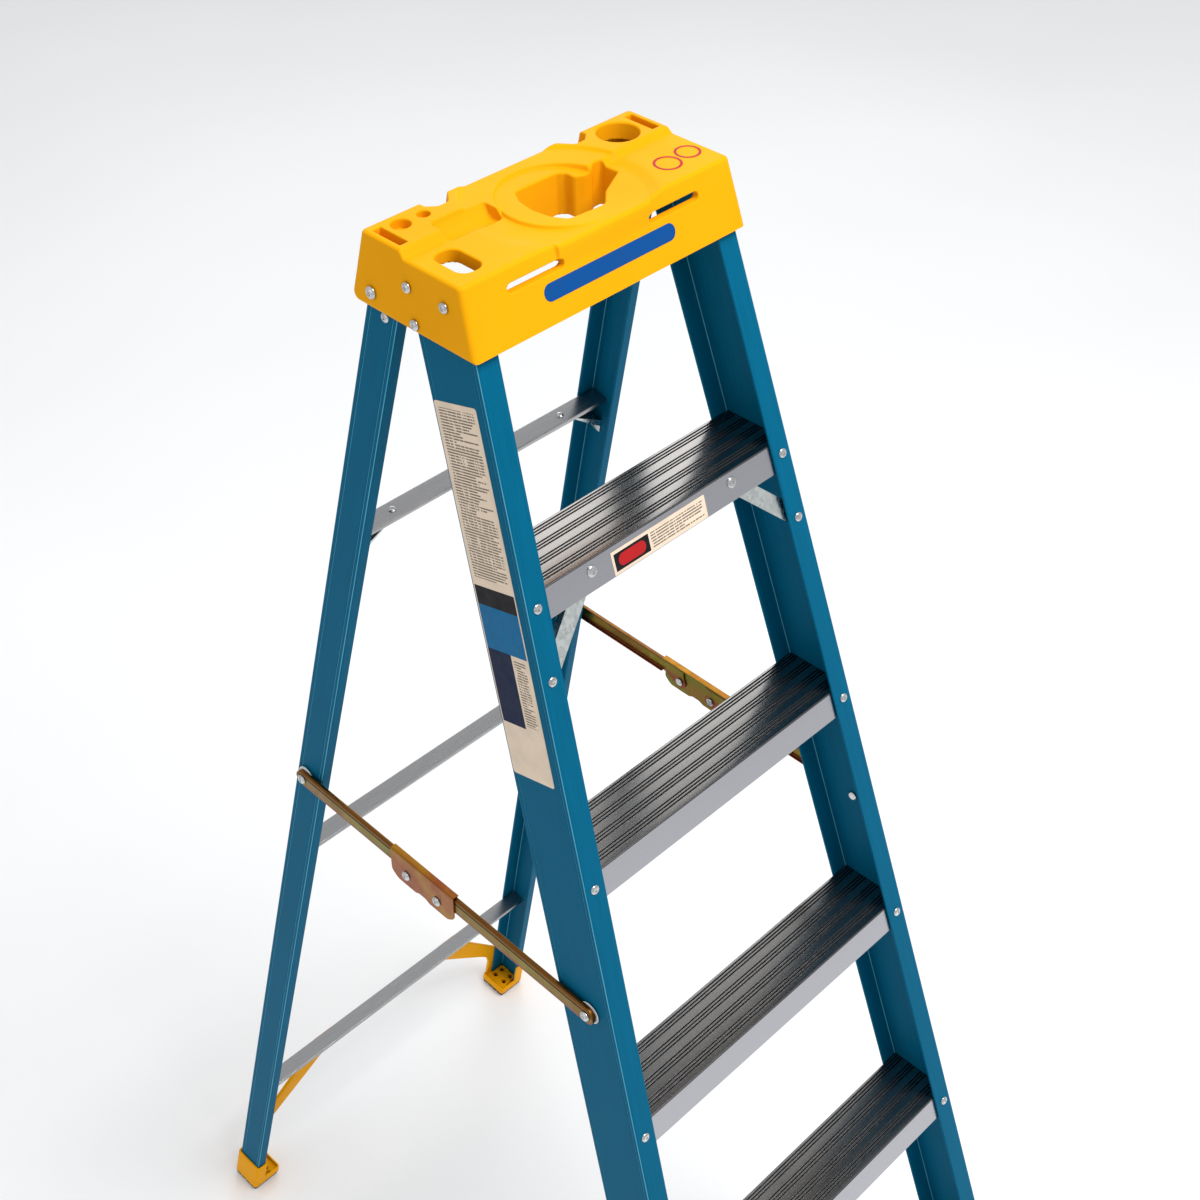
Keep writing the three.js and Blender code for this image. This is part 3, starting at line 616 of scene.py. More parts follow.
def rail_shape(rail):
    wall, web = rail["wall"], rail["web"]
    tip, corner, inner = 1.2, 2.4, 2.2
    outline = [
        (0, 0, corner),
        (rail["front"], 0, tip),
        (rail["front"], wall, tip),
        (wall, wall, inner),
        (wall, web - wall, inner),
        (rail["back"], web - wall, tip),
        (rail["back"], web, tip),
        (0, web, corner),
    ]
    # A fine moulded line runs along the web just behind each outer corner.
    bead = [(0, 0.5), (BEAD_LIP, 0), (BEAD_LIP, -0.5), (0, -1)]
    for middle in (web - BEAD_PLACE, BEAD_PLACE):
        outline += [(inset, middle + shift, 0) for inset, shift in bead]
    section = rounded(outline, 0, RAIL_ARC)
    return prism(section, lambda i, d, t: rail_point(rail, i, d, mix(rail["bottom"], rail["top"], t)))


for side_name, side in SIDES.items():
    for rail_name, rail in (("front", FRONT), ("rear", REAR)):
        shape = mirrored(rail_shape(rail), side)
        piece = add_object(f"{rail_name}_rail_look_{side_name}", *shape[:2], FIBREGLASS, shape[2])
        piece.data.materials.append(FIBREGLASS_HIGHLIGHT)
        # The side faces come in the section's order: two corner radii and both beads get the pale
        # painted highlight.
        sides = len(shape[0]) // 2
        outer_corner, inner_corner = RAIL_ARC // 2 - 1, 4 * (RAIL_ARC + 1) + RAIL_ARC // 2
        for face in (outer_corner, inner_corner, sides - 7, sides - 3):
            piece.data.polygons[face].material_index = 1
        settle(piece, f"{rail_name}_frame", "fibreglass", f"{rail_name}_rail_{side_name}")


# ---- Steps ----
TREAD_FRONT = 3.52
APRON = 31.1
STEP_SKIN = 2.2
FRONT_LIP, REAR_LIP = {"wide": 4, "thick": 3}, {"wide": 8, "thick": 2}
GROOVE_GROUPS = (8.5, 26.5, 44.5, 62.5)
GROOVES_IN_GROUP = 3
GROOVE_PITCH, GROOVE_WIDTH, GROOVE_DEPTH, GROOVE_SLOPE = 3.6, 1.8, 1.5, 0.25


def between(rail, section, height):
    """A bar between the rails' webs, over a section of depth and height."""

    def place(depth, dz, t):
        z = height + dz
        y = rail_front(rail, z) + depth
        return (mix(-1, 1, t) * (web_x(rail, rail["wall"], y, z) - GAP), y, z)

    return prism(section, place)


def step_section():
    front = TREAD_FRONT
    rear = rail_depth(FRONT) - front
    crown = [(front, 0, 1.2)]
    for start in GROOVE_GROUPS:
        for k in range(GROOVES_IN_GROUP):
            a = front + start + k * GROOVE_PITCH - GROOVE_WIDTH / 2
            b = a + GROOVE_WIDTH
            crown += [(a, 0, 0.3), (a + GROOVE_SLOPE, -GROOVE_DEPTH, 0.2)]
            crown += [(b - GROOVE_SLOPE, -GROOVE_DEPTH, 0.2), (b, 0, 0.3)]
    crown.append((rear, 0, 1.6))
    edge = 0.5
    outline = [
        *crown,
        (rear, -APRON, edge),
        (rear - REAR_LIP["wide"], -APRON, edge),
        (rear - REAR_LIP["wide"], REAR_LIP["thick"] - APRON, edge),
        (rear - STEP_SKIN, REAR_LIP["thick"] - APRON, edge),
        (rear - STEP_SKIN, -STEP_SKIN, 1.0),
        (front + STEP_SKIN, -STEP_SKIN, 1.0),
        (front + STEP_SKIN, FRONT_LIP["thick"] - APRON, edge),
        (front + FRONT_LIP["wide"], FRONT_LIP["thick"] - APRON, edge),
        (front + FRONT_LIP["wide"], -APRON, edge),
        (front, -APRON, edge),
    ]
    return rounded(outline, 0, 3)


for number in range(1, STEPS + 1):
    shape = between(FRONT, step_section(), number * STEP_RISE)
    piece = add_object(f"step_look_{number}", *shape[:2], TREAD_METAL, shape[2])
    piece.data.materials.append(APRON_LIT_METAL)
    piece.data.materials.append(GROOVE_SHADE_METAL)
    lit_apron_index, groove_shade_index = 1, 2
    for polygon in piece.data.polygons:
        below = number * STEP_RISE - polygon.center.z / MM
        # Faces inside the grooves, below the tread top, get the painted shade.
        if 0.05 < below < GROOVE_DEPTH + 0.1 and abs(polygon.normal.x) < 0.5:
            polygon.material_index = groove_shade_index
        # Faces looking front or back take the paler copy of the tread metal: painted light.
        elif abs(polygon.normal.y) > 0.6:
            polygon.material_index = lit_apron_index
    settle(piece, "front_frame", "step_aluminium", f"step_{number}")

# ---- Rear bars ----
REAR_BARS = {"low": 267, "middle": 853, "top": 1391}
BAR = {"depth": 22.4, "wall": 1.8, "front": 6.0, "back": 32.0}
BRACE = {"reach": 52, "drop": 36, "tab": 20, "foot": 18, "plate": 1.6}


def bar_point(height, behind, above):
    """y and z of a point behind and above a bar's back top edge, square to the leaning rail."""
    lean = REAR["lean_y"]
    norm = math.hypot(1, lean)
    edge = rail_front(REAR, height) + rail_depth(REAR) - REAR["wall"] * norm - FIT
    return edge + (behind + lean * above) / norm, height + (above - lean * behind) / norm


def bar_shape(height):
    depth, wall = BAR["depth"], BAR["wall"]
    outline = [
        (0, -BAR["back"], 0.5),
        (0, 0, 1.3),
        (-depth, 0, 1.3),
        (-depth, -BAR["front"], 0.6),
        (wall - depth, -BAR["front"], 0.6),
        (wall - depth, -wall, 0.4),
        (-wall, -wall, 0.4),
        (-wall, -BAR["back"], 0.5),
    ]

    def place(behind, above, t):
        y, z = bar_point(height, behind, above)
        return (mix(-1, 1, t) * (web_x(REAR, REAR["wall"], y, z) - GAP), y, z)

    return prism(rounded(outline, 0, 3), place)


for bar_name, height in REAR_BARS.items():
    shape = bar_shape(height)
    piece = add_object(f"rear_bar_look_{bar_name}", *shape[:2], BAR_METAL, shape[2])
    settle(piece, "rear_frame", "bar_aluminium", f"rear_bar_{bar_name}")

# ---- Moulded pieces: distance fields turned into one smooth skin ----
def meet(a, b, radius):
    """The part inside both, with the edge between them rounded."""
    inner = np.minimum(-radius, np.maximum(a, b))
    return inner + np.hypot(np.maximum(radius + a, 0), np.maximum(radius + b, 0))


def step_up(value, start, end):
    t = np.clip((value - start) / (end - start), 0, 1)
    return t * t * (3 - 2 * t)


def ramp_up(value, start, end, soft):
    """A straight ramp from 0 to 1 with its two bends softened."""
    t = (value - start) / (end - start)
    return (np.hypot(t, soft) - np.hypot(t - 1, soft) + 1) / 2


def inside_outline(x, y, outline):
    """Signed distance from a closed outline, negative inside."""
    points = np.asarray(outline, float)
    nearest = np.full(np.broadcast(x, y).shape, 1e12)
    sign = np.ones(nearest.shape)
    for (ax, ay), (bx, by) in zip(points, np.roll(points, -1, axis=0)):
        ex, ey = bx - ax, by - ay
        wx, wy = x - ax, y - ay
        t = np.clip((wx * ex + wy * ey) / (ex * ex + ey * ey), 0, 1)
        nearest = np.minimum(nearest, (wx - ex * t) ** 2 + (wy - ey * t) ** 2)
        turn = ex * wy > ey * wx
        crosses = ((y >= ay) & (y < by) & turn) | ((y < ay) & (y >= by) & ~turn)
        sign = np.where(crosses, -sign, sign)
    return sign * np.sqrt(nearest)


def slopes(distance, points, here):
    """The gradient of a distance field at some points where its value is known."""
    reach = 0.03
    moved = [distance(*(points + reach * offset).T) - here for offset in np.eye(3)]
    return np.stack(moved, axis=1) / reach


def skin(distance, low, high, pitch):
    """Points and quads of the surface where a distance field is zero."""
    low = np.asarray(low, float)
    ticks = [a + pitch * np.arange(int((b - a) / pitch) + 2) for a, b in zip(low, high)]
    shape = tuple(len(t) for t in ticks)
    field = np.broadcast_to(distance(*np.ix_(*ticks)), shape).astype(np.float32)
    inside = field < 0
    cell = tuple(n - 1 for n in shape)
    count = np.zeros(cell, np.int8)
    for i, j, k in np.ndindex(2, 2, 2):
        count += inside[i : i + cell[0], j : j + cell[1], k : k + cell[2]]
    cells = np.argwhere((count > 0) & (count < 8))
    number = np.full(cell, -1, np.int64)
    number[tuple(cells.T)] = np.arange(len(cells))
    total = np.zeros((len(cells), 3))
    hits = np.zeros(len(cells))
    unit = np.eye(3, dtype=int)
    for axis in range(3):
        others = [i for i in range(3) if i != axis]
        for i, j in np.ndindex(2, 2):
            start = cells + unit[others[0]] * i + unit[others[1]] * j
            a = field[tuple(start.T)]
            b = field[tuple((start + unit[axis]).T)]
            crossed = (a < 0) != (b < 0)
            share = np.where(crossed, a / np.where(crossed, a - b, 1), 0)
            total[crossed] += (start + share[:, None] * unit[axis])[crossed]
            hits += crossed
    points = low + pitch * total / hits[:, None]
    for _ in range(2):
        away = distance(*points.T)
        slope = slopes(distance, points, away)
        steps = away[:, None] * slope / np.maximum((slope**2).sum(1), 0.2)[:, None]
        points -= np.clip(steps, -0.35 * pitch, 0.35 * pitch)
    quads = []
    for axis in range(3):
        b, c = [unit[i] for i in ((axis + 1) % 3, (axis + 2) % 3)]
        first = inside[tuple(slice(None, -1) if i == axis else slice(None) for i in range(3))]
        second = inside[tuple(slice(1, None) if i == axis else slice(None) for i in range(3))]
        at = np.argwhere(first != second)
        keep = np.ones(len(at), bool)
        for i in range(3):
            if i != axis:
                keep &= (at[:, i] > 0) & (at[:, i] < cell[i])
        at = at[keep]
        corners = [number[tuple((at - m).T)] for m in (0 * b, b, b + c, c)]
        ring = np.stack(corners, axis=1)
        ring[~first[tuple(at.T)]] = ring[~first[tuple(at.T)]][:, ::-1]
        quads.append(ring)
    return points, np.concatenate(quads)


def moulded(name, distance, low, high, pitch, material):
    """An object of a distance field's surface, with its flat stretches made one face each."""
    points, quads = skin(distance, low, high, pitch)
    made = add_object(name, points, quads.tolist(), material, smooth_angle=0)
    thin = made.modifiers.new("thin", "DECIMATE")
    thin.decimate_type = "DISSOLVE"
    thin.angle_limit = math.radians(0.7)
    graph = bpy.context.evaluated_depsgraph_get()
    thinned = bpy.data.meshes.new_from_object(made.evaluated_get(graph))
    made.modifiers.clear()
    made.data = thinned
    at = np.zeros(3 * len(thinned.vertices))
    thinned.vertices.foreach_get("co", at)
    at = at.reshape(-1, 3) / MM
    slope = slopes(distance, at, distance(*at.T))
    normals = slope / np.maximum(np.linalg.norm(slope, axis=1), 1e-6)[:, None]
    thinned.shade_smooth()
    thinned.normals_split_custom_set_from_vertices(normals.tolist())
    return made, normals


def moulded_pair(stem, *field):
    """A moulded piece for the right side and its mirror image for the left, by side name."""
    right, normals = moulded(f"{stem}_right", *field)
    mesh = right.data.copy()
    mesh.transform(Matrix.Diagonal((-1, 1, 1, 1)))
    mesh.flip_normals()
    mesh.normals_split_custom_set_from_vertices((normals * (-1, 1, 1)).tolist())
    left = bpy.data.objects.new(f"{stem}_left", mesh)
    bpy.context.scene.collection.objects.link(left)
    return {"left": left, "right": right}


# ---- Cap ----
TOOL_WELL = [
    (-28, 4, 5), (-19, -10, 7), (23, -10, 5), (28, -8, 3), (43, 7, 4), (63, 18, 4), (78, 26, 3),
    (77, 47, 3), (67, 47, 2), (61, 43, 2), (51, 42, 4), (41, 46, 4), (40, 56, 4), (33, 61, 4),
    (-19, 61, 7), (-28, 44, 6), (-31, 24, 8),
]  # fmt: skip
BACK_NOTCH = [(66, 130, 0), (67, 99, 3), (79, 83, 5), (91, 83, 5), (100, 91, 4), (100, 130, 0)]
CAP_LOW, CAP_FRONT_TOP, DISC_TOP, RING_TOP, CAP_BACK_TOP = 1681.6, 1747.0, 1750.2, 1753.2, 1756.0
LEFT_END_RISE, RIGHT_END_RISE = 1.8, 3.4
BLOCKS_START, BLOCKS_END = 40.4, 46.0
DISC = (3, 27)
DISC_RADIUS, RING_RADIUS, DISC_DIP = 57, 88, 3.2
CAP_HALF_WIDTH, CAP_WALL, CAP_CORNER, CAP_ROOF = 172, 2.6, 5.5, 1743.2
FRONT_WALL = {"y": -52, "z": CAP_LOW, "back": 18.5, "up": 65.4}
BACK_WALL = {"y": 114.3, "z": 1695, "forward": 15.2, "up": 61}
END_LEAN = 0.068
FRONT_SWELL, SWELL_END = 3.4, 60
CUP_FLOOR, NOTCH_FLOOR, TRAY_FLOOR = 1746.5, 1742, 1740.5
# Round holes are (x, y, radius), and the others (from, to, from, to, corner radius).
ROUND_WELL, CUPS = (124, 71.5, 21), ((-136, 81, 9.5), (-110, 81, 6.3))
HAND_HOLE, TRAY = (-149, -123, -17, 28, 11), (-118, -55, 36, 64, 6)
END_SLOT, FACE_SLOT = (151.5, 160.5, 52, 90, 1.5), (53, 119, 1725.5, 1734.4, 4.4)
TOOL_SKIRT, HAND_SKIRT, ROUND_SKIRT = 1706, 1735, 1738
WELL = rounded(TOOL_WELL, 0, 3)
NOTCH = rounded(BACK_NOTCH, 0, 3)


def cap_top(x, y):
    """Height of the cap's top over a point."""
    spread = np.hypot(x - DISC[0], y - DISC[1])
    blocks = mix(RING_TOP, CAP_BACK_TOP, ramp_up(spread - RING_RADIUS, -0.5, 2.5, 0.25))
    rise = np.where(x > 0, RIGHT_END_RISE, LEFT_END_RISE) * ramp_up(spread - RING_RADIUS, -6, 6, 0.25)
    around = mix(CAP_FRONT_TOP + rise, blocks, ramp_up(y, BLOCKS_START, BLOCKS_END, 0.14))
    disc = DISC_TOP - DISC_DIP * step_up(0.8 * x - 0.6 * (y - DISC[1]), -8, 50)
    return mix(disc, around, ramp_up(spread - DISC_RADIUS, 0, 1.3, 0.3))


def front_and_back(y, z, swell=0.0):
    """Distance inside the cap's sloping front and back walls, and inside the back wall alone."""
    back, up = FRONT_WALL["back"], FRONT_WALL["up"]
    front = (z - FRONT_WALL["z"]) * back - (y - FRONT_WALL["y"] + swell) * up
    front = front / math.hypot(back, up)
    forward, up = BACK_WALL["forward"], BACK_WALL["up"]
    behind = (z - BACK_WALL["z"]) * forward + (y - BACK_WALL["y"]) * up
    behind = behind / math.hypot(forward, up)
    return np.maximum(front, behind), behind


def bar_hole(x, z, x0, x1, z0, z1, radius):
    dx = np.abs(x - (x0 + x1) / 2) - (x1 - x0) / 2 + radius
    dz = np.abs(z - (z0 + z1) / 2) - (z1 - z0) / 2 + radius
    return np.hypot(np.maximum(dx, 0), np.maximum(dz, 0)) + np.minimum(np.maximum(dx, dz), 0) - radius


def round_hole(x, y, centre_x, centre_y, radius):
    return np.hypot(x - centre_x, y - centre_y) - radius


def cap_distance(x, y, z):
    mirror = np.abs(x)
    swell = FRONT_SWELL * step_up(SWELL_END - mirror, 0, 3) * step_up(z, 1722, 1746)
    across, behind = front_and_back(y, z, swell)
    ends = (mirror - CAP_HALF_WIDTH + END_LEAN * (z - CAP_LOW)) / math.hypot(1, END_LEAN)
    under = CAP_LOW - z
    outer = meet(np.maximum(across, meet(behind, under, 11)), ends, CAP_CORNER)
    outer = meet(outer, z - cap_top(x, y), 3.2)
    outer = meet(outer, under, 0.9)
    wells = [
        (inside_outline(x, y, WELL), TOOL_SKIRT),
        (bar_hole(x, y, *HAND_HOLE), HAND_SKIRT),
        (round_hole(x, y, *ROUND_WELL), ROUND_SKIRT),
    ]
    tray_floor = TRAY_FLOOR + 14 * np.clip((y - 46) / 18, 0, 1) ** 2
    pockets = [np.maximum(round_hole(x, y, *cup), CUP_FLOOR - z) for cup in CUPS]
    pockets += [
        np.maximum(inside_outline(mirror, y, NOTCH), NOTCH_FLOOR - z),
        np.maximum(bar_hole(mirror, y, *END_SLOT), NOTCH_FLOOR - z),
        meet(bar_hole(x, y, *TRAY), tray_floor - z, 2.5),
    ]
    slot = bar_hole(mirror, z, *FACE_SLOT)
    skirts = np.maximum(slot - 2, y + 31)
    for hole, low in wells:
        outer = meet(outer, -hole, 2.0)
        skirts = np.minimum(skirts, np.maximum(hole - CAP_WALL, low - z))
    for pocket in pockets:
        outer = meet(outer, -pocket, 1.1)
        skirts = np.minimum(skirts, pocket - CAP_WALL)
    outer = meet(outer, -np.maximum(slot, y), 0.8)
    inner = meet(front_and_back(y, z)[0] + CAP_WALL, ends + CAP_WALL, CAP_CORNER - CAP_WALL)
    cavity = np.maximum(inner, z - CAP_ROOF)
    return np.maximum(outer, -np.maximum(cavity, -skirts))


cap, _ = moulded("cap_look", cap_distance, (-175, -56, 1679), (175, 118, 1759), 1.4, PLASTIC)
settle(cap, "front_frame", "cap_plastic", "top_cap")

# ---- Feet ----
SHOE = {"wall": 3.5, "reach": 42.0, "sole": 6.0, "side": 15.0, "rim": 21.5, "plate": 16.5}
SHOE_HOLES = {"radius": 3.7, "insets": (10, 25), "spread": 10}
REAR_ARM = [
    (262, 16, 2), (262, 72, 12), (160, 203, 30), (137, 246, 3), (104, 246, 3), (106, 206, 30),
    (211, 98, 40), (228, 78, 20), (236, 54, 20), (238, 16, 2),
]  # fmt: skip
REAR_ARM_PLATE, REAR_ARM_RIM, REAR_ARM_EDGE, REAR_ARM_GAP = 2.4, 5.3, 4.5, 0.6
REAR_ARM_RIVET = (120, 239.6)


def shoe_distance(rail, height):
    """The field of a moulded shoe round the foot of a rail, open on its inner side."""
    _, behind, inward = axes_of(rail)
    middle = rail["web"] / 2
    reach, wall = SHOE["reach"], SHOE["wall"]

    def distance(x, y, z):
        shift = (x - rail["x"], y - rail["y"], z)
        inset = sum(a * b for a, b in zip(shift, inward))
        aside = np.abs(sum(a * b for a, b in zip(shift, behind)) - middle)
        across = inset - reach / 2 + wall / 2
        plan = meet(aside - middle - wall, np.abs(across) - (reach + wall) / 2, 5)
        body = meet(plan, np.maximum(SHOE["sole"] - z, z - height), 1.6)
        body = meet(body, np.minimum(inset - SHOE["side"], z - SHOE["rim"]), 3)
        beside = np.maximum(aside - middle - FIT, -FIT - inset)
        room = np.maximum(beside, inset - reach + wall - 0.1)
        body = meet(body, -np.maximum(room, SHOE["plate"] - z), 1.2)
        core = rail["wall"] + 0.6
        hollow = np.maximum(aside - middle + core, core - inset)
        rail_slot = np.maximum(np.maximum(beside, inset - rail["back"] - 0.6), -hollow)
        body = np.maximum(body, -np.maximum(rail_slot, rail["bottom"] - GAP - z))
        for hole_inset in SHOE_HOLES["insets"]:
            hole = np.hypot(inset - hole_inset, aside - SHOE_HOLES["spread"]) - SHOE_HOLES["radius"]
            body = meet(body, -hole, 0.6)
        return body

    return distance


rear_shoe = shoe_distance(REAR, 66)
ARM_OUTLINE = rounded(REAR_ARM, 0, 4)


def rear_foot_distance(x, y, z):
    """The rear shoe with the arm that braces the lowest rear bar from behind."""
    outline = inside_outline(x, z, ARM_OUTLINE)
    depth = y - rail_front(REAR, z) - rail_depth(REAR) - REAR_ARM_GAP
    arm = meet(outline, np.maximum(-depth, depth - REAR_ARM_RIM), 1.5)
    recess = meet(outline + REAR_ARM_EDGE, REAR_ARM_PLATE - depth, 1.5)
    arm = meet(arm, -recess, 1)
    return -meet(-rear_shoe(x, y, z), -arm, 2)


feet = {
    "front": (shoe_distance(FRONT, 84), (218, -540, 4), (284, -416, 88), 1.5, PLASTIC),
    "rear": (rear_foot_distance, (100, 420, 4), (282, 544, 260), 1.6, PLASTIC),
}
for rail_name, field in feet.items():
    for side_name, foot in moulded_pair(f"{rail_name}_foot_look", *field).items():
        settle(foot, f"{rail_name}_frame", "cap_plastic", f"{rail_name}_foot_{side_name}")

# ---- Spreaders ----
PIVOT_FRONT, PIVOT_REAR = (-208.3, 1001.5), (257.6, 1002.8)
KNEE_DROP, KNEE_LOBE, KNEE_INSET = 12.6, 9.5, 0.12
ARM_FLANGE, ARM_FACE, ARM_WALL = 5.2, 216.5, 1.6
LOBE_START, LOW_FLANGE_END, ARM_OVERRUN = 30, 28, 6


def knee(distance):
    share = distance / (PIVOT_REAR[0] - PIVOT_FRONT[0])
    return PIVOT_FRONT[0] + distance, mix(PIVOT_FRONT[1], PIVOT_REAR[1], share) - KNEE_DROP


KNEE_FRONT, KNEE_REAR = knee(227.3), knee(278.3)


def arm_section(low_flange):
    """x and height of a spreader arm's channel, with the rib along its upper edge."""
    h, face = ARM_HALF, ARM_FACE
    back, tip = face - ARM_WALL, face - ARM_FLANGE
    low_tip = tip if low_flange else back
    outline = [
        (low_tip, -h, 0.5), (face, -h, 1.8), (face, 4.6, 0.3), (face - 0.7, 5.2, 0.2),
        (face - 0.7, 6.0, 0.2), (face, 6.6, 0.5), (face, h, 2.2), (tip, h, 0.5),
        (tip, h - ARM_WALL, 0.5), (back, h - ARM_WALL, 1),
    ]  # fmt: skip
    if low_flange:
        outline += [(back, ARM_WALL - h, 1), (tip, ARM_WALL - h, 0.5)]
    return rounded(outline, 0, 3)


def channel_arm(pivot, joint, heading):
    """A channel from a rounded end at the rail pivot to a lobe that hangs at the knee pivot."""
    length = abs(joint[0] - pivot[0])
    stations = [-ARM_HALF * math.cos(math.radians(a)) for a in range(12, 91, 13)]
    cut, end = length - LOW_FLANGE_END, length + ARM_OVERRUN
    parts = []
    for low_flange, along in ((True, [*stations, 0, cut]), (False, [cut, end])):
        section = arm_section(low_flange)
        vertices, uv = [], []
        for s in along:
            squeeze = math.sqrt(max(1 - min(s / ARM_HALF, 0) ** 2, 0.02))
            vertices += [(x, pivot[0] + heading * s, pivot[1] + t * squeeze) for x, t in section]
            uv += [(t * MM, s * MM) for x, t in section]
        faces = outward(vertices, tube_faces(len(section), len(along) - 1))
        parts.append((vertices, faces, uv))
    drop = pivot[1] - joint[1]
    lobe = [(length - LOBE_START, 0), (length - LOBE_START + 6, -ARM_HALF)]
    lobe += arc((length, -drop), KNEE_LOBE, 225, 360, 9) + [(end, 0)]

    def place(s, t, share):
        x = ARM_FACE - mix(KNEE_INSET, ARM_WALL - KNEE_INSET, share)
        return (x, pivot[0] + heading * s, pivot[1] + t)

    vertices, faces, _ = prism(lobe, place)
    parts.append((vertices, faces, [(t * MM, s * MM) for s, t in lobe] * 2))
    return joined(parts)


def link_plate():
    """The knee's outer plate, with the stop lip turned over the arms along its top."""
    top = max(PIVOT_FRONT[1], PIVOT_REAR[1]) + ARM_HALF + GAP
    low = KNEE_FRONT[1] - 16
    waist, shoulder = low + 3, low + 8
    front, rear = KNEE_FRONT[0], KNEE_REAR[0]
    outline = [
        (front - 29, top - 1, 1), (front - 27, shoulder, 8), (front - 16, low, 10),
        (front + 14, low, 9), (front + 20, waist, 6), (rear - 20, waist, 6), (rear - 14, low, 9),
        (rear + 16, low, 10), (rear + 26, shoulder, 8), (rear + 25, top - 1, 1),
    ]  # fmt: skip
    outer = ARM_FACE + GAP
    plate = prism(rounded(outline, 0, 5), lambda y, z, t: (outer + ARM_WALL * t, y, z))
    inner = ARM_FACE - ARM_FLANGE - 1
    lip = [
        (outer + ARM_WALL, top - 1.2, 0), (outer + ARM_WALL, top + ARM_WALL, 1.5),
        (inner, top + ARM_WALL, 0.6), (inner, top, 0.6), (outer, top, 0.5), (outer, top - 1.2, 0),
    ]  # fmt: skip
    turned_lip = prism(rounded(lip, 0, 4), lambda x, z, t: (x, mix(front - 28.6, rear + 24.9, t), z))
    return joined([plate, turned_lip])


for side_name, side in SIDES.items():
    for arm_name, arm in (
        ("front", channel_arm(PIVOT_FRONT, KNEE_FRONT, 1)),
        ("rear", channel_arm(PIVOT_REAR, KNEE_REAR, -1)),
    ):
        shape = mirrored(arm, side)
        piece = add_object(f"{arm_name}_arm_look_{side_name}", *shape[:2], ARM_ZINC, shape[2])
        body = f"{side_name}_{arm_name}_arm"
        settle(piece, body, "yellow_zinc", f"spreader_{arm_name}_arm_{side_name}")
    shape = mirrored(link_plate(), side)
    piece = add_object(f"link_look_{side_name}", *shape[:2], LINK_ZINC, shape[2])
    piece.data.materials.append(INNER_ZINC)
    for polygon in piece.data.polygons:
        polygon.material_index = int(side * polygon.normal.x < -0.5)
    settle(piece, f"{side_name}_link", "yellow_zinc", f"spreader_link_{side_name}")

# ---- Marks on the cap ----
MARK = {"x": 82, "low": 1703, "high": 1719, "lift": 0.35}
RINGS = [(117, -1, 14.2), (147, 2, 13.2)]
RING_BAND = 2.7
RING_SUNK, RING_LIFT = 0.8, 0.15
RIGHT_DECK_TOP = CAP_FRONT_TOP + RIGHT_END_RISE


def slab(outline, place):
    """A thin plate over an outline, with the outline's own coordinates as its uv."""
    vertices, faces, _ = prism(outline, place)
    return vertices, faces, [(a * MM, b * MM) for a, b in outline] * 2


def cap_front_y(z):
    return FRONT_WALL["y"] + FRONT_WALL["back"] / FRONT_WALL["up"] * (z - FRONT_WALL["z"])


corners = [(-MARK["x"], MARK["low"]), (MARK["x"], MARK["low"])]
corners += [(MARK["x"], MARK["high"]), (-MARK["x"], MARK["high"])]
shape = slab(
    rounded(corners, 7.9, 8),
    lambda x, z, t: (x, cap_front_y(z) + mix(1, -MARK["lift"], t), z),
)
mark = add_object("cap_mark", *shape[:2], MARK_BLUE, shape[2])
settle(mark, "front_frame", "label_film")
for number, (x, y, radius) in enumerate(RINGS, 1):
    inner = radius - RING_BAND
    band = [(inner, -RING_SUNK), (radius, -RING_SUNK), (radius, RING_LIFT), (inner, RING_LIFT)]
    shape = turned(band, (x, y, RIGHT_DECK_TOP), (0, 0, 1), 48, ring=True)
    ring = add_object(f"cap_ring_{number}", *shape[:2], RED, shape[2])
    settle(ring, "front_frame", "label_film")

# ---- Labels ----
LABEL_DEPTHS, LABEL_ENDS = (14.3, 74.7), (1322, 1709)
FILM_LIFT, FILM_LAYER = 0.32, 0.07


def on_rail(depth, length, lift):
    """A point over the left front rail's web, along the rail from the floor."""
    along, behind, inward = axes_of(FRONT)
    point = Vector((FRONT["x"], FRONT["y"], 0)) + behind * depth + along * length - inward * lift
    return (-point.x, point.y, point.z)


def on_apron(x, dz, lift):
    z = STEPS * STEP_RISE + dz
    return (x, rail_front(FRONT, z) + TREAD_FRONT - lift, z)


def field(name, place, a0, a1, b0, b1, material, level=0, radius=0.4, node=None):
    """A colour field of a printed label: a thin plate, one level higher for each layer."""
    corners = [(a0, b0), (a1, b0), (a1, b1), (a0, b1)]
    lift = FILM_LIFT + FILM_LAYER * level
    shape = slab(rounded(corners, radius, 4), lambda a, b, t: place(a, b, mix(0.05, lift, t)))
    piece = add_object(name, *shape[:2], material, shape[2])
    settle(piece, "front_frame", "label_film", *([node] if node else []))


def label_rows(*shares):
    low, high = LABEL_ENDS
    return [mix(high, low, share) for share in shares]


d0, d1 = LABEL_DEPTHS
split = mix(d0, d1, 0.42)
top, dark, blue, panel, foot, bottom = label_rows(0, 0.474, 0.525, 0.645, 0.85, 1)
field("rail_label_look", on_rail, d0, d1, bottom, top, CREAM, radius=3, node="rail_label")
ruled_long = ruled("film_rows", (d1 - 5) * MM, (d0 + 5) * MM)
ruled_short = ruled("film_short_rows", (split - 3) * MM, (d0 + 6) * MM)
field("rail_label_text", on_rail, d0 + 5, d1 - 5, dark + 9, top - 6, ruled_long, 1)
field("rail_label_dark", on_rail, d0 + 1.5, d1 - 1.5, blue, dark, INK, 1)
field("rail_label_blue", on_rail, d0 + 1.5, d1 - 1.5, panel, blue, SKY, 1)
field("rail_label_navy", on_rail, split, d1 - 1.5, foot, panel, NAVY, 1)
field("rail_label_rows", on_rail, d0 + 6, split - 3, foot + 4, panel - 5, ruled_short, 1)

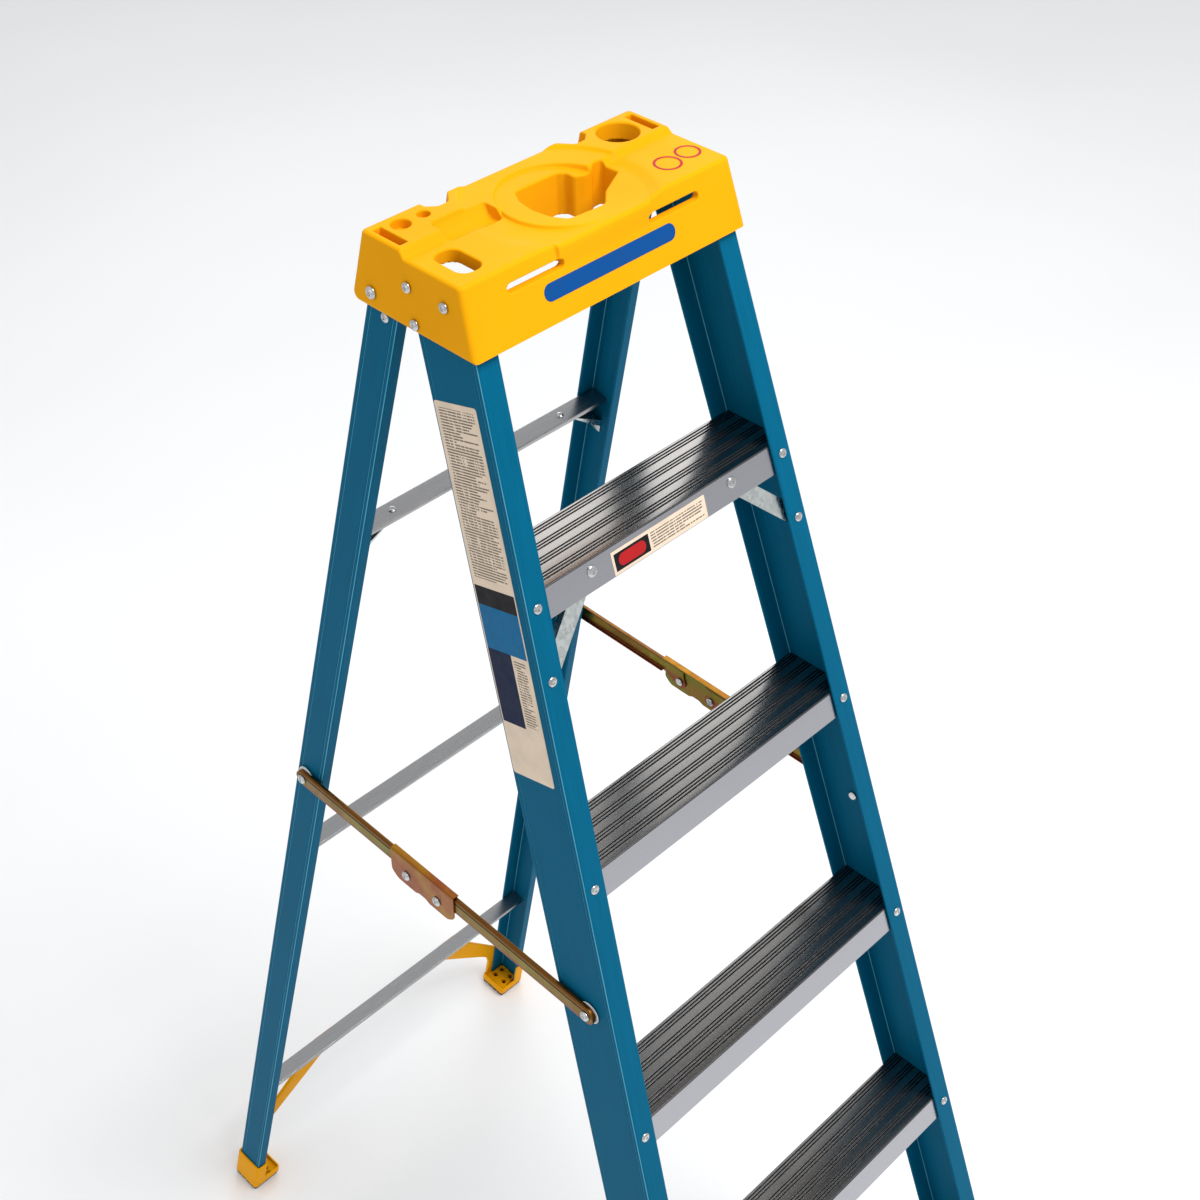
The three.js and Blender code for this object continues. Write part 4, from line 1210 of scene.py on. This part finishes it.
x0, x1, low, high = -71, 57, -30, -6.5
field("step_label_look", on_apron, x0, x1, low, high, CREAM, radius=1.2, node="step_label")
field("step_label_dark", on_apron, x0 + 3, x0 + 49, low + 3, high - 3, INK, 1)
field("step_label_red", on_apron, x0 + 8, x0 + 44, low + 5.5, high - 5.5, RED, 2, radius=6)
ruled_step = ruled("film_step_rows", (x0 + 52) * MM, (x1 - 4) * MM)
field("step_label_text", on_apron, x0 + 52, x1 - 4, low + 4, high - 4, ruled_step, 1)

# ---- Small rivets ----
FLANGE_INSET = FRONT["front"] - 13.5
BELOW_TREAD, BELOW_TREAD_BRACE = 11.8, 84
APRON_RIVET = {"x": 96, "below": 12, "radius": 6.2, "height": 2.5}
BAR_RIVET = {"inset": 12, "below": 10}
REAR_WEB_RIVET = (77.7, 1674.3)
ARM_SHANK = 8.5
apron_out = Vector((0, -1, FRONT["lean_y"])).normalized()
front_heads, rear_heads = [], []
for side in SIDES.values():
    _, behind, inward = axes_of(FRONT)
    for number in range(1, STEPS + 1):
        tread = number * STEP_RISE
        heights = [tread - BELOW_TREAD]
        heights += [tread - BELOW_TREAD_BRACE] if number in BRACED_STEPS else []
        for height in heights:
            centre = rail_point(FRONT, FLANGE_INSET, 0, height)
            front_heads.append(mirrored(rivet_head(centre, -behind), side))
        centre = rail_point(FRONT, FLANGE_INSET, FRONT["web"], tread - BELOW_TREAD)
        front_heads.append(mirrored(rivet_head(centre, behind), side))
        if number in BRACED_STEPS:
            z = tread - APRON_RIVET["below"]
            centre = (side * APRON_RIVET["x"], rail_front(FRONT, z) + TREAD_FRONT, z)
            size = (APRON_RIVET["radius"], APRON_RIVET["height"])
            front_heads.append(rivet_head(centre, apron_out, *size))
    _, behind, inward = axes_of(REAR)
    for height in REAR_BARS.values():
        centre = rail_point(REAR, BAR_RIVET["inset"], REAR["web"], height - BAR_RIVET["below"])
        rear_heads.append(mirrored(rivet_head(centre, behind), side))
    y, z = bar_point(REAR_BARS["top"], -BAR["depth"] / 2, 0)
    inwards = BRACE["reach"] + BRACE["tab"] / 2
    centre = (side * (web_x(REAR, REAR["wall"], y, z) - inwards), y, z)
    rear_heads.append(rivet_head(centre, (0, REAR["lean_y"], 1), 4.2, 2.0))
    foot_middle = -BAR["wall"] - BRACE["drop"] - BRACE["foot"] / 2
    y, z = bar_point(REAR_BARS["top"], -BAR["depth"] / 2, foot_middle)
    centre = (web_x(REAR, REAR["wall"] + BRACE["plate"] + GAP, y, z), y, z)
    rear_heads.append(mirrored(rivet_head(centre, inward, 4.6, 2.0), side))
    x, z = REAR_ARM_RIVET
    arm_back = rail_front(REAR, z) + rail_depth(REAR) + REAR_ARM_GAP + REAR_ARM_PLATE
    rear_heads.append(rivet_head((side * x, arm_back, z), behind, 4.2, 2.0, ARM_SHANK))
    centre = (web_x(REAR, 0, *REAR_WEB_RIVET), *REAR_WEB_RIVET)
    rear_heads.append(mirrored(rivet_head(centre, -inward), side))
for body, heads in (("front_frame", front_heads), ("rear_frame", rear_heads)):
    shape = joined(heads)
    piece = add_object(f"{body}_rivets", *shape[:2], RIVET, shape[2])
    settle(piece, body, "rivet_steel")

RIVET_NODES = {
    "cap_rivet_front": ("front_frame", 3.0, 2.0),
    "cap_rivet_rear": ("front_frame", 3.0, 2.0),
    "cap_rivet_low": ("front_frame", 3.0, 2.0),
    "hinge_rivet": ("front_frame", 3.4, 2.5),
    "spreader_front_rivet": ("front_frame", 3.2, 2.0),
    "spreader_rear_rivet": ("{}_rear_arm", 3.2, 0.2),
    "spreader_link_rivet_front": ("{}_link", 3.2, 2.0),
    "spreader_link_rivet_rear": ("{}_link", 3.2, 2.0),
}
for stem, (body, head, tail) in RIVET_NODES.items():
    for side_name, side in SIDES.items():
        node = f"{stem}_{side_name}"
        shape = rivet_through(node, side, head, tail)
        piece = add_object(f"{stem}_look_{side_name}", *shape[:2], RIVET, shape[2])
        settle(piece, body.format(side_name), "rivet_steel", node)

# ---- Nodes that keep their CAD shape ----
KEPT = {
    "rear_brace": (GALVANISED, 0.4),
    "step_1_brace": (GALVANISED, 0.4),
    "step_5_brace": (GALVANISED, 0.4),
    "front_foot_pad": (RUBBER, 0.5),
    "rear_foot_pad": (RUBBER, 0.5),
    "spreader_front_washer": (NYLON, 0.3),
    "spreader_rear_washer": (NYLON, 0.3),
}
for stem, (material, width) in KEPT.items():
    for side_name in SIDES:
        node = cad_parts[f"{stem}_{side_name}"]
        node.data.materials.clear()
        node.data.materials.append(material)
        bevelled(node, width)
for name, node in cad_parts.items():
    if not any(name.startswith(stem) for stem in KEPT):
        node.data.materials.clear()
        node.data.materials.append(PLASTIC)

# ---- Floor ----
bpy.ops.mesh.primitive_plane_add(size=30)
floor = bpy.context.object
floor.name = "floor"
floor.data.materials.append(floor_material())
